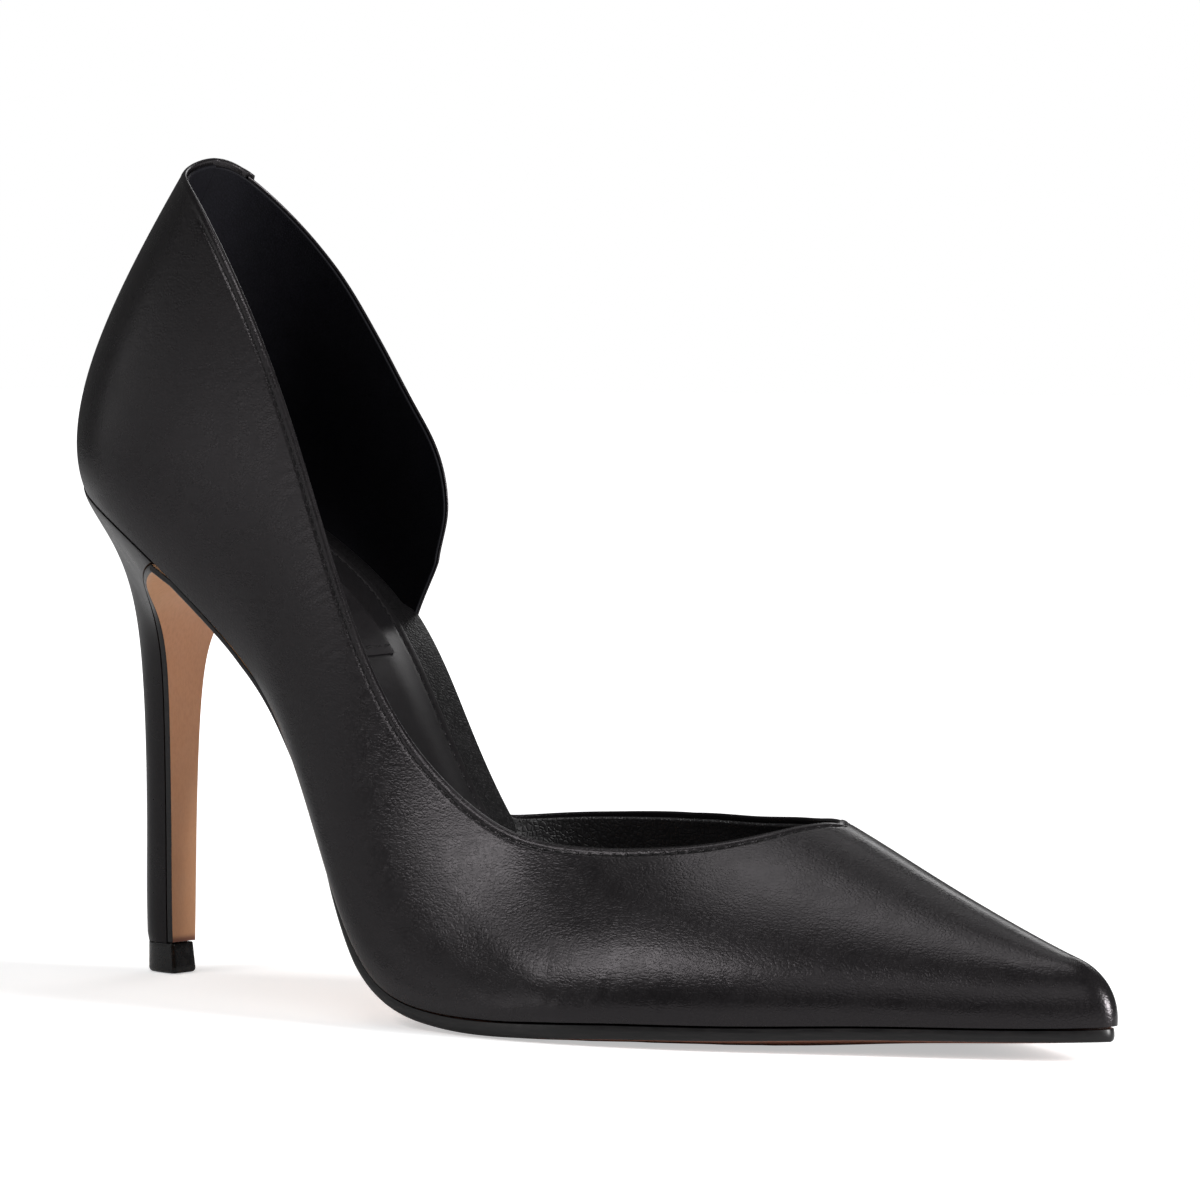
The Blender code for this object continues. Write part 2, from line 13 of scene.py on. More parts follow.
import bmesh
import bpy
import numpy as np
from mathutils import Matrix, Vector


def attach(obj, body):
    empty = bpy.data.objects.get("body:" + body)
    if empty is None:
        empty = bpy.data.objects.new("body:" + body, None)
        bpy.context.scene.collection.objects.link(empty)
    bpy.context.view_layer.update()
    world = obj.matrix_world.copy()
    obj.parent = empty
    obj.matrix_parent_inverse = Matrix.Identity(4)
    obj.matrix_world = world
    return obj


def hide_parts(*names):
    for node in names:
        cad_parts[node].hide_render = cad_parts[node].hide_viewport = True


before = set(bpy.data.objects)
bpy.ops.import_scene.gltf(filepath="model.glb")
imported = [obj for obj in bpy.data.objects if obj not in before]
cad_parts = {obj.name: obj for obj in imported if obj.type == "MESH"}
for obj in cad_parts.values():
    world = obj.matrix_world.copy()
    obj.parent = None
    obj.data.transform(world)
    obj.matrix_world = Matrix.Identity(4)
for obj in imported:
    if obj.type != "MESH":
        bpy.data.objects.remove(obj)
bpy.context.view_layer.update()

Array = np.ndarray
Triple = tuple[float, float, float]
Rows = tuple[tuple[float, ...], ...]
MM = 0.001
FULL_SHARE = 1 - 1e-6
WHOLE_LENGTH = 100.0
FAR_FROM_SEAM = 9.0
UP = np.array([0.0, 0.0, 1.0])
LOG = logging.getLogger("pump")


class Side(IntEnum):
    """The two sides of the shoe, with the sign that each has across it."""

    OUTER = -1
    INNER = 1


class Band(IntEnum):
    """Which face of the sole a strip of it belongs to."""

    HIDDEN = 0
    EDGE = 1
    GROUND = 2


# Numbers worked out on whole arrays


class Spline:
    """A natural cubic through a few rows. Flat ends carry a form on smoothly round the heel and toe."""

    def __init__(self, places: Array, values: Array, flat_ends: bool = False) -> None:
        """Solves the cubic's bending once.

        Args:
            places: the rows' places, growing.
            values: the value at each place.
            flat_ends: True where the curve has to run level at both ends.
        """
        self.x = np.asarray(places, float)
        self.y = np.asarray(values, float)
        self.h = np.diff(self.x)
        slopes = np.diff(self.y) / self.h
        count = len(self.x)
        matrix = np.eye(count)
        right = np.zeros(count)
        for i in range(1, count - 1):
            matrix[i, i - 1: i + 2] = self.h[i - 1], 2 * (self.h[i - 1] + self.h[i]), self.h[i]
            right[i] = 6 * (slopes[i] - slopes[i - 1])
        if flat_ends:
            matrix[0, :2] = 2 * self.h[0], self.h[0]
            matrix[-1, -2:] = self.h[-1], 2 * self.h[-1]
            right[0], right[-1] = 6 * slopes[0], -6 * slopes[-1]
        self.bend = np.linalg.solve(matrix, right)

    def __call__(self, place: Array) -> Array:
        """Reads the curve: between two rows it is the cubic of their values and their bending.

        Args:
            place: where it is read.

        Returns:
            The curve's value at each place.
        """
        place = np.asarray(place, float)
        i = np.clip(np.searchsorted(self.x, place) - 1, 0, len(self.h) - 1)
        a = (self.x[i + 1] - place) / self.h[i]
        b = (place - self.x[i]) / self.h[i]
        bending = (a**3 - a) * self.bend[i] + (b**3 - b) * self.bend[i + 1]
        return a * self.y[i] + b * self.y[i + 1] + bending * self.h[i] ** 2 / 6


def unit(vectors: Array) -> Array:
    """Returns the vectors at length one."""
    return vectors / np.maximum(np.linalg.norm(vectors, axis=-1, keepdims=True), 1e-12)


def ease(value: Array, low: float, high: float) -> Array:
    """Returns 0 below low and 1 above high, with a smooth step between them."""
    t = np.clip((np.asarray(value, float) - low) / (high - low), 0, 1)
    return t * t * (3 - 2 * t)


def hump(value: Array, centre: float, width: float) -> Array:
    """Returns a bell of height one at centre that has mostly gone a width away."""
    return np.exp(-(((value - centre) / width) ** 2))


def roll(distance: Array, radius: Array) -> Array:
    """How deep a round edge has sunk at a distance in from its outline: a quarter circle of the radius."""
    inside = np.maximum(radius - distance, 0)
    return radius - np.sqrt(np.maximum(radius**2 - inside**2, 0))


def smoothed(values: Array, window: int) -> Array:
    """Evens out a row of values: each becomes the mean of an odd window round it."""
    return np.convolve(np.pad(values, window // 2, mode="edge"), np.ones(window) / window, mode="valid")


def lengths(line: Array) -> Array:
    """Returns how far along a line of points each point is."""
    return np.concatenate([[0.0], np.cumsum(np.linalg.norm(np.diff(line, axis=0), axis=-1))])


def distance_to(points: Array, line: Array) -> tuple[Array, Array]:
    """Measures points against a line of short straight pieces.

    Args:
        points: any array of points.
        line: the points of the line.

    Returns:
        The distance of each point from the line, and how far along the line its nearest place is.
    """
    flat = points.reshape(-1, 3)
    start, run = line[:-1], np.diff(line, axis=0)
    along = lengths(line)
    square = np.maximum((run**2).sum(-1), 1e-12)
    best = np.empty(len(flat))
    place = np.empty(len(flat))
    for low in range(0, len(flat), 1500):
        part = flat[low: low + 1500]
        near = ((part[:, None] - line[None]) ** 2).sum(-1).argmin(1)
        found = []
        for shift in (-1, 0):
            i = np.clip(near + shift, 0, len(run) - 1)
            t = np.clip(((part - start[i]) * run[i]).sum(-1) / square[i], 0, 1)
            off = np.linalg.norm(part - start[i] - run[i] * t[:, None], axis=-1)
            found.append((off, along[i] + t * np.sqrt(square[i])))
        first = found[0][0] < found[1][0]
        best[low: low + 1500] = np.where(first, found[0][0], found[1][0])
        place[low: low + 1500] = np.where(first, found[0][1], found[1][1])
    return best.reshape(points.shape[:-1]), place.reshape(points.shape[:-1])


def turn_of(station: Array) -> Array:
    """A station in percent of the length as an angle round the foot: 0 at the heel's back, pi at the toe."""
    return np.arccos(np.clip(1 - np.asarray(station, float) / 50, -1, 1))


def station_of(turn: Array) -> Array:
    """The station in percent at an angle round the foot."""
    return (1 - np.cos(turn)) * 50


def table(rows: Rows) -> Spline:
    """A curve over the turn, from rows of station and value."""
    stations, values = np.array(rows).T
    return Spline(turn_of(stations), values)


@dataclass
class Last:
    """The wooden foot that the shoe is made on. Columns are shares in percent, then millimetres."""

    length: float = 222.0
    ball_width: float = 75.0
    heel_height: float = 91.0
    height: float = 151.0
    middle: tuple[float, float] = (110.5, -1.9)
    ridge_ease: float = 49.9
    ridge_start: float = 66.1
    columns: tuple[str, ...] = (
        "outer", "inner", "seat", "arch", "rim_x", "rim_y", "rim_z", "flare", "rise", "shoulder", "drop",
    )
    rows: Rows = (
        (0.0, 0.0, 0.0, 100.0, 0.0, 12.1, 0.0, 100.0, 5.0, 14.0, 17.0, 29.0),
        (2.2, 16.8, 16.8, 98.2, 0.0, 13.9, 11.3, 100.0, 5.0, 14.0, 17.0, 29.0),
        (7.1, 29.0, 29.2, 94.4, 0.0, 18.4, 21.3, 98.0, 6.0, 14.0, 10.0, 28.0),
        (13.9, 33.6, 33.3, 85.5, 0.5, 25.1, 26.7, 92.7, 6.0, 14.0, 5.5, 26.0),
        (21.1, 33.3, 34.0, 72.7, 1.0, 32.3, 28.0, 84.1, 5.0, 14.0, 5.0, 26.0),
        (28.3, 34.7, 27.0, 56.6, 1.2, 39.5, 25.3, 71.5, 5.0, 13.0, 7.0, 24.0),
        (35.5, 42.0, 22.6, 32.6, 1.0, 45.9, 20.0, 58.3, 5.0, 11.0, 10.0, 18.0),
        (42.7, 49.9, 30.0, 10.7, 0.6, 51.7, 13.3, 45.0, 5.0, 9.0, 14.0, 12.0),
        (49.9, 52.7, 41.0, 4.0, 0.3, 57.6, 6.7, 35.8, 4.0, 9.0, 16.0, 6.0),
        (58.0, 52.7, 47.3, 3.5, 0.0, 63.4, 1.3, 30.1, 4.0, 9.0, 16.0, 2.0),
        (66.1, 48.7, 47.3, 4.3, 0.0, 68.8, 0.0, 26.8, 4.0, 10.0, 14.0, 0.0),
        (74.2, 40.7, 41.3, 4.7, 0.0, 75.1, 0.0, 23.3, 4.0, 10.0, 11.0, 0.0),
        (83.2, 28.0, 29.3, 5.4, 0.0, 82.8, 0.0, 18.4, 3.0, 9.0, 8.0, 0.0),
        (90.9, 17.1, 18.0, 5.7, 0.0, 89.1, 0.0, 14.6, 2.0, 8.0, 5.5, 0.0),
        (96.3, 9.1, 9.6, 6.0, 0.0, 93.6, 0.0, 12.1, 1.0, 7.0, 4.5, 0.0),
        (100.0, 0.0, 0.0, 6.4, 0.0, 95.9, 0.0, 11.0, 0.5, 6.0, 4.5, 0.0),
    )
    crown: Rows = ((0.0, 2.0), (14.0, 2.0), (26.0, 0.3), (40.0, 0.3), (50.0, 1.6), (100.0, 1.6))
    curves: dict[str, Spline] = field(default_factory=dict)

    def __post_init__(self) -> None:
        """Makes one curve over the turn for each column."""
        whole = {"outer": self.ball_width, "inner": self.ball_width, "rim_y": self.ball_width,
                 "rim_x": self.length, "seat": self.heel_height, "rim_z": self.height}
        rows = np.array(self.rows)
        for column, name in enumerate(self.columns, 1):
            values = rows[:, column] * whole.get(name, 100) / 100
            self.curves[name] = Spline(turn_of(rows[:, 0]), values, name not in ("outer", "inner", "rim_y"))
        self.swell = table(self.crown)

    def feather(self, turn: Array, side: Array) -> Array:
        """The line where upper and sole meet: level in plan, at the height of seat and arch.

        Args:
            turn: the angle round the foot.
            side: the sign of the side.

        Returns:
            The points.
        """
        inner = side > 0
        x = self.length / 2 * (1 - np.cos(turn))
        y = np.where(inner, self.curves["inner"](turn), -self.curves["outer"](turn))
        z = self.curves["seat"](turn) + np.where(inner, self.curves["arch"](turn), 0)
        return np.stack([x, y, z], -1)

    def rim(self, turn: Array, side: Array) -> Array:
        """The line the wall climbs to. Its two halves meet in one ridge along the vamp."""
        apart = np.where(turn < turn_of(self.ridge_start), np.abs(self.curves["rim_y"](turn)), 0)
        return np.stack([self.curves["rim_x"](turn), side * apart, self.curves["rim_z"](turn)], -1)

    def outwards(self, turn: Array, side: Array) -> Array:
        """The level direction away from the foot, square to a small step along the feather line.

        Args:
            turn: the angle round the foot.
            side: the sign of the side.

        Returns:
            The directions, of length one.
        """
        step = 1e-3
        ahead = self.feather(np.clip(turn + step, 0, pi), side)
        along = unit((ahead - self.feather(np.clip(turn - step, 0, pi), side))[..., :2])
        flat = np.stack([-along[..., 1] * side, along[..., 0] * side, 0 * along[..., 0]], -1)
        flat = np.where((turn < step)[..., None], (-1.0, 0.0, 0.0), flat)
        return np.where((turn > pi - step)[..., None], (1.0, 0.0, 0.0), flat)

    def ridge_fall(self, turn: Array) -> Array:
        """How fast the rim falls towards the toe, counted only where its halves meet on the vamp.

        Args:
            turn: the angle round the foot.

        Returns:
            The fall for each millimetre ahead, growing from nothing between the two ridge stations.
        """
        step = 1e-3
        ahead, behind = np.clip(turn + step, 0, pi), np.clip(turn - step, 0, pi)
        run = np.maximum(self.curves["rim_x"](ahead) - self.curves["rim_x"](behind), 1e-9)
        fall = (self.curves["rim_z"](behind) - self.curves["rim_z"](ahead)) / run
        start, end = turn_of(self.ridge_ease), turn_of(self.ridge_start)
        return fall * np.clip((turn - start) / (end - start), 0, 1)

    def wall(self, turn: Array, share: Array, side: Array) -> Array:
        """The last's wall. Each section is a Bezier curve of four points: feather line, flare, shoulder and
        rim.

        Args:
            turn: the angle round the foot.
            share: from 0 at the feather line to 1 at the rim.
            side: the sign of the side.

        Returns:
            The points.
        """
        turn, share, side = np.broadcast_arrays(np.asarray(turn, float), share, side)
        foot, top, out = self.feather(turn, side), self.rim(turn, side), self.outwards(turn, side)
        flare, rise, shoulder, drop = (self.curves[name](turn)[..., None] for name in self.columns[-4:])
        low = foot + out * flare + UP * rise
        level = self.ridge_fall(turn)[..., None] * out[..., :1] * shoulder
        high = top + out * shoulder - UP * (drop + level)
        w = share[..., None]
        return (1 - w) ** 3 * foot + 3 * w * (1 - w) ** 2 * low + 3 * w**2 * (1 - w) * high + w**3 * top

    def normal(self, turn: Array, share: Array, side: Array) -> Array:
        """The direction straight out of the wall: the cross product of two small steps along it.

        Args:
            turn: the angle round the foot.
            share: from 0 at the feather line to 1 at the rim.
            side: the sign of the side.

        Returns:
            The directions, of length one.
        """
        turn, share, side = np.broadcast_arrays(np.asarray(turn, float), share, side)
        step = 1e-3
        turned = self.wall(np.minimum(turn + step, pi), share, side)
        turned = turned - self.wall(np.maximum(turn - step, 0), share, side)
        climbed = self.wall(turn, np.minimum(share + step, 1), side)
        climbed = climbed - self.wall(turn, np.maximum(share - step, 0), side)
        return unit(np.cross(turned, climbed) * -side[..., None])

    def height_under(self, x: Array, y: Array) -> Array:
        """The underside's height: a straight line between the two feather lines, less a parabola of the
        crown.

        Args:
            x: the place along the shoe.
            y: the place across it.

        Returns:
            The height over the floor.
        """
        turn = turn_of(100 * x / self.length)
        outer = -self.curves["outer"](turn)
        width = np.maximum(self.curves["inner"](turn) - outer, 1e-6)
        blend = np.clip((y - outer) / width, 0, 1)
        sag = self.swell(turn) * width / self.ball_width * 4 * blend * (1 - blend)
        return self.curves["seat"](turn) + self.curves["arch"](turn) * blend - sag

    def down(self, turn: Array) -> Array:
        """The direction away from the underside, square to its run in the upright plane along the shoe.

        Args:
            turn: the angle round the foot.

        Returns:
            The directions, of length one.
        """
        step, outer = 1e-3, Side.OUTER
        run = self.feather(np.minimum(turn + step, pi), outer) - self.feather(np.maximum(turn - step, 0), outer)
        return unit(np.stack([run[..., 2], 0 * run[..., 0], -run[..., 0]], -1))

    def underside(self, turn: Array, across: Array, insets: tuple[Array, Array], below: Array) -> Array:
        """The last's underside, level points between the two feather lines and then moved straight off it.

        Args:
            turn: the turn of each point.
            across: from -1 at the outer feather line to 1 at the inner one.
            insets: how far the outer and the inner edge are drawn in.
            below: how far the surface is moved away from the last.

        Returns:
            The points.
        """
        turn, across, outset, inset, below = np.broadcast_arrays(turn, across, *insets, below)
        outer = self.feather(turn, Side.OUTER) - self.outwards(turn, Side.OUTER) * outset[..., None]
        inner = self.feather(turn, Side.INNER) - self.outwards(turn, Side.INNER) * inset[..., None]
        blend = (across[..., None] + 1) / 2
        points = outer * (1 - blend) + inner * blend
        points[..., 2] = self.height_under(points[..., 0], points[..., 1])
        return points + self.down(turn_of(100 * points[..., 0] / self.length)) * below[..., None]


@dataclass
class Topline:
    """The upper's top edge: the share of the wall kept below it, by station, on each panel."""

    throat: float = 74.0
    outer: Rows = (
        (0.0, 0.957), (2.2, 0.925), (7.1, 0.89), (13.9, 0.794), (21.1, 0.677), (28.3, 0.564), (35.5, 0.523),
        (42.7, 0.554), (49.9, 0.548), (56.2, 0.57), (61.6, 0.607), (66.1, 0.66), (70.1, 0.777), (72.5, 0.905),
        (74.0, 1.0),
    )
    quarter: Rows = (
        (0.0, 0.957), (2.2, 0.905), (5.8, 0.80), (10.8, 0.655), (14.0, 0.588), (17.1, 0.533), (20.5, 0.459),
        (21.6, 0.411), (22.4, 0.348), (23.05, 0.267), (23.4, 0.156), (23.55, 0.0),
    )
    wing: Rows = (
        (35.4, 0.0), (36.8, 0.12), (40.4, 0.335), (45.4, 0.483), (49.9, 0.547), (56.2, 0.605), (62.5, 0.666),
        (65.7, 0.704), (68.9, 0.768), (70.8, 0.82), (72.5, 0.91), (74.0, 1.0),
    )

    def __post_init__(self) -> None:
        """Joins the outer side and the quarter in one curve over the signed turn, round the back."""
        rows = [(-turn_of(station), share) for station, share in self.outer[:0:-1]]
        rows += [(turn_of(station), share) for station, share in self.quarter]
        self.round_back = Spline(*np.array(rows).T)
        self.wing_curve = table(self.wing)

    def share(self, turn: Array, side: Array, wing: bool) -> Array:
        """The share at the topline. The vamp ahead of the throat keeps its whole wall.

        Args:
            turn: the angle round the foot.
            side: the sign of the side.
            wing: True for the inner wing, False for the quarter.

        Returns:
            The share of the wall below the topline.
        """
        turn, side = np.broadcast_arrays(turn, side)
        low, high = turn_of(self.wing[0][0]), turn_of(self.throat)
        inner = self.wing_curve(np.clip(turn, low, high)) if wing else self.round_back(turn)
        share = np.where(side > 0, inner, self.round_back(-turn))
        return np.where(turn > high - 1e-6, 1.0, np.clip(share, 0, 1))


# Meshes


class Body:
    """Collects grids of points and makes one welded mesh of them."""

    def __init__(self, last: Last) -> None:
        """Starts an empty piece, placed by the last's own middle.

        Args:
            last: the last that the piece is made on.
        """
        self.shift = np.array([*last.middle, 0.0])
        self.points: list[Array] = []
        self.faces: list[Array] = []
        self.slots: list[Array] = []
        self.seams: list[Array] = []
        self.count = 0

    def add(self, points: Array, seam: Array | None = None) -> Array:
        """Adds points.

        Args:
            points: the points, in an array of any shape.
            seam: the place of each on the seam map, or None.

        Returns:
            The points' numbers, in the same shape.
        """
        flat = points.reshape(-1, 3)
        self.points.append(flat)
        self.seams.append(np.zeros((len(flat), 2)) if seam is None else seam.reshape(-1, 2))
        numbers = np.arange(self.count, self.count + len(flat)).reshape(points.shape[:-1])
        self.count += len(flat)
        return numbers

    def skin(self, numbers: Array, slot: int | Array = 0) -> None:
        """Adds the faces of a grid of points.

        Args:
            numbers: the points' numbers, rows by columns.
            slot: the finish, one for all or one for each face.
        """
        quads = np.stack([numbers[:-1, :-1], numbers[:-1, 1:], numbers[1:, 1:], numbers[1:, :-1]], -1)
        self.slots.append(np.broadcast_to(slot, quads.shape[:2]).reshape(-1))
        self.faces.append(quads.reshape(-1, 4))

    def grid(self, points: Array, slot: int | Array = 0, seam: Array | None = None) -> Array:
        """Adds points and their faces at once.

        Args:
            points: the points, rows by columns.
            slot: the finish, one for all or one for each face.
            seam: the place of each on the seam map, or None.

        Returns:
            The points' numbers.
        """
        numbers = self.add(points, seam)
        self.skin(numbers, slot)
        return numbers

    def hem(self, above: Array, below: Array) -> None:
        """Joins the four edges of two grids.

        Args:
            above: the numbers of one grid's points.
            below: the numbers of the other's, equally many.
        """
        for edge in ((0, slice(None)), (-1, slice(None)), (slice(None), 0), (slice(None), -1)):
            self.skin(np.stack([above[edge], below[edge]]))

    def cap(self, loop: Array) -> None:
        """Closes a loop of points by faces that meet in its middle."""
        self.grid(np.stack([loop, np.broadcast_to(loop.mean(0), loop.shape)]))

    def object(self, name: str, finishes: Sequence[bpy.types.Material], sharp: float = 40.0) -> bpy.types.Object:
        """Welds the grids, turns the faces outwards and makes the object.

        Args:
            name: the piece's name.
            finishes: its materials, in the order of the slots.
            sharp: the angle in degrees past which an edge is shaded sharp.

        Returns:
            The piece, at the origin, with its place in its mesh.
        """
        data = bpy.data.meshes.new(name)
        points = (np.concatenate(self.points) - self.shift) * MM
        faces = np.concatenate(self.faces)
        data.from_pydata(points, [], faces)
        data.polygons.foreach_set("material_index", np.concatenate(self.slots).astype(np.int32))
        layer = data.uv_layers.new(name="seam")
        layer.data.foreach_set("uv", np.concatenate(self.seams)[faces.reshape(-1)].astype(np.float32).reshape(-1))
        mesh = bmesh.new()
        mesh.from_mesh(data)
        bmesh.ops.remove_doubles(mesh, verts=mesh.verts, dist=0.003 * MM)
        bmesh.ops.recalc_face_normals(mesh, faces=mesh.faces)
        mesh.to_mesh(data)
        mesh.free()
        data.shade_smooth()
        data.set_sharp_from_angle(angle=radians(sharp))
        for finish in finishes:
            data.materials.append(finish)
        piece = bpy.data.objects.new(name, data)
        bpy.context.scene.collection.objects.link(piece)
        LOG.info("%s: %d faces", name, len(data.polygons))
        return piece


def dress(piece: bpy.types.Object, slot: str, *nodes: str) -> bpy.types.Object:
    """Lets a piece ride on the shoe and hides the CAD nodes that it stands for.

    Args:
        piece: the finished piece.
        slot: not used.
        nodes: the CAD nodes that it replaces.

    Returns:
        The piece.
    """
    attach(piece, "root")
    if nodes:
        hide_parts(*nodes)
    return piece


@dataclass
class Thread:
    """A row of stitches: each is a short rounded length of thread whose two ends dive into the leather."""

    pitch: float = 2.2
    gap: float = 0.45
    radius: float = 0.16
    proud: float = 0.03
    dive: float = 0.3
    rings: int = 7
    sides: int = 6

    def run(self, body: Body, line: Array, out: Array, lean: float = 0.0) -> int:
        """Adds the stitches along a line on a surface.

        Args:
            body: the mesh that takes them.
            line: points of the line, close together.
            out: the direction out of the surface at each point.
            lean: how far each stitch is turned from the line, in millimetres at its ends.

        Returns:
            How many stitches it made.
        """
        along = lengths(line)
        count = int(along[-1] / self.pitch)
        centre = (np.arange(count) + 0.5) * along[-1] / count
        t = np.linspace(-1, 1, self.rings)
        place = centre[:, None] + t * (self.pitch - self.gap) / 2
        at = np.stack([np.interp(place, along, line[:, k]) for k in range(3)], -1)
        up = unit(np.stack([np.interp(place, along, out[:, k]) for k in range(3)], -1))
        ahead = unit(np.gradient(at, axis=1))
        across = unit(np.cross(up, ahead))
        at = at + up * (self.proud - self.dive * np.abs(t) ** 3)[:, None] + across * (lean * t)[:, None]
        size = self.radius * np.sqrt(np.maximum(1 - np.abs(t) ** 6, 0))
        size = np.where(np.abs(t) == 1, 0.0, size)
        angle = np.linspace(0, 2 * pi, self.sides + 1)
        ring = up[:, :, None] * np.cos(angle)[:, None] + across[:, :, None] * np.sin(angle)[:, None]
        tube = at[:, :, None] + ring * size[None, :, None, None]
        numbers = body.add(tube)
        quads = np.stack([numbers[:, :-1, :-1], numbers[:, :-1, 1:], numbers[:, 1:, 1:], numbers[:, 1:, :-1]], -1)
        body.faces.append(quads.reshape(-1, 4))
        body.slots.append(np.zeros(quads.size // 4, int))
        return count


# Finishes


class Recipe:
    """A material being mixed: a Principled shader and the nodes that feed it."""

    def __init__(self, name: str, colour: Triple, roughness: float) -> None:
        """Starts from a plain shader, with the object's place in millimetres at hand.

        Args:
            name: the material's name.
            colour: its main colour.
            roughness: its roughness.
        """
        self.material = bpy.data.materials.new(name)
        self.material.use_nodes = True
        self.material.diffuse_color = (*colour, 1)
        self.tree = self.material.node_tree
        self.shader = self.tree.nodes["Principled BSDF"]
        self.shader.inputs["Base Color"].default_value = (*colour, 1)
        self.shader.inputs["Roughness"].default_value = roughness
        self.shader.inputs["Metallic"].default_value = 0
        self.place = self.add("ShaderNodeMapping")
        self.place.inputs["Scale"].default_value = (1 / MM,) * 3
        self.link(self.add("ShaderNodeTexCoord").outputs["Object"], self.place.inputs[0])
        self.relief: bpy.types.Node | None = None

    def add(self, kind: str, **settings: object) -> bpy.types.Node:
        """Adds a node and sets what is named.

        Args:
            kind: the node's type.
            settings: the node's own settings.

        Returns:
            The node.
        """
        node = self.tree.nodes.new(kind)
        for name, value in settings.items():
            setattr(node, name, value)
        return node

    def link(self, source: bpy.types.NodeSocket, target: bpy.types.NodeSocket) -> None:
        """Joins an output to an input."""
        self.tree.links.new(source, target)

    def set(self, **values: float) -> None:
        """Sets the shader's own sockets.

        Args:
            values: a value for each socket. An underscore in a name stands for a space.
        """
        for name, value in values.items():
            self.shader.inputs[name.replace("_", " ")].default_value = value

    def noise(self, size: float, detail: float = 3.0, stretch: Triple = (1, 1, 1)) -> bpy.types.NodeSocket:
        """Soft noise from 0 to 1.

        Args:
            size: how wide its spots are, in millimetres.
            detail: how many finer layers it has.
            stretch: how much closer its spots lie along each axis.

        Returns:
            The noise.
        """
        node = self.add("ShaderNodeTexNoise", normalize=True)
        node.inputs["Scale"].default_value = 1 / size
        node.inputs["Detail"].default_value = detail
        self.link(self.stretched(stretch), node.inputs["Vector"])
        return node.outputs["Fac"]

    def stretched(self, stretch: Triple) -> bpy.types.NodeSocket:
        """The place in millimetres, stretched where the grain is.

        Args:
            stretch: the factor along each axis.

        Returns:
            The place.
        """
        if stretch == (1, 1, 1):
            return self.place.outputs[0]
        node = self.add("ShaderNodeMapping")
        node.inputs["Scale"].default_value = stretch
        self.link(self.place.outputs[0], node.inputs[0])
        return node.outputs[0]

    def pebble(self, size: float, stretch: Triple = (1, 1, 1)) -> bpy.types.NodeSocket:
        """The cells of leather grain, from the distance to the nearest crease. Soft noise first pulls the
        place about, which bends the creases.

        Args:
            size: how wide a cell is, in millimetres.
            stretch: how much closer the cells lie along each axis.

        Returns:
            0 in the creases between cells and up to 1 on them.
        """
        warp = self.add("ShaderNodeTexNoise")
        warp.inputs["Scale"].default_value = 0.4 / size
        warp.inputs["Detail"].default_value = 0
        self.link(self.stretched(stretch), warp.inputs["Vector"])
        pull = self.add("ShaderNodeVectorMath", operation="MULTIPLY_ADD")
        pull.inputs[1].default_value = (size * 0.8,) * 3
        self.link(warp.outputs["Color"], pull.inputs[0])
        self.link(self.stretched(stretch), pull.inputs[2])
        cells = self.add("ShaderNodeTexVoronoi", feature="DISTANCE_TO_EDGE")
        cells.inputs["Scale"].default_value = 1 / size
        self.link(pull.outputs[0], cells.inputs["Vector"])
        return self.ramp(cells.outputs["Distance"], 0.0, 0.28)

    def ramp(self, source: bpy.types.NodeSocket, low: float, high: float, start: float = 0.0,
             end: float = 1.0) -> bpy.types.NodeSocket:
        """Maps low to start and high to end, smoothly and no further.

        Args:
            source: the value that is mapped.
            low: where it starts.
            high: where it ends.
            start: what low becomes.
            end: what high becomes.

        Returns:
            The mapped value.
        """
        node = self.add("ShaderNodeMapRange", interpolation_type="SMOOTHSTEP")
        for socket, value in zip(node.inputs[1:5], (low, high, start, end)):
            socket.default_value = value
        self.link(source, node.inputs[0])
        return node.outputs[0]

    def math(self, operation: str, first: bpy.types.NodeSocket, second: bpy.types.NodeSocket | float
             ) -> bpy.types.NodeSocket:
        """One sum on two values.

        Args:
            operation: the sum's name.
            first: the first value.
            second: the second value, a socket or a number.

        Returns:
            The result.
        """
        node = self.add("ShaderNodeMath", operation=operation)
        self.link(first, node.inputs[0])
        if isinstance(second, (int, float)):
            node.inputs[1].default_value = second
        else:
            self.link(second, node.inputs[1])
        return node.outputs[0]

    def height(self, axis: int, low: float, high: float) -> bpy.types.NodeSocket:
        """0 to 1 between two places along an axis.

        Args:
            axis: 0, 1 or 2 for x, y or z.
            low: the place of 0, in millimetres.
            high: the place of 1.

        Returns:
            The mapped place.
        """
        split = self.add("ShaderNodeSeparateXYZ")
        self.link(self.place.outputs[0], split.inputs[0])
        return self.ramp(split.outputs[axis], low, high)

    def seam(self, axis: int) -> bpy.types.NodeSocket:
        """Reads the seam map.

        Args:
            axis: 0 for the count of stitches along the seam, 1 for the distance from it in millimetres.

        Returns:
            The value.
        """
        split = self.add("ShaderNodeSeparateXYZ")
        self.link(self.add("ShaderNodeUVMap", uv_map="seam").outputs[0], split.inputs[0])
        return split.outputs[axis]

    def bump(self, source: bpy.types.NodeSocket, depth: float) -> None:
        """Adds relief on top of what there is.

        Args:
            source: the height, from 0 to 1.
            depth: how many millimetres that is.
        """
        node = self.add("ShaderNodeBump")
        node.inputs["Distance"].default_value = depth * MM
        self.link(source, node.inputs["Height"])
        if self.relief:
            self.link(self.relief.outputs[0], node.inputs["Normal"])
        self.relief = node
        self.link(node.outputs[0], self.shader.inputs["Normal"])

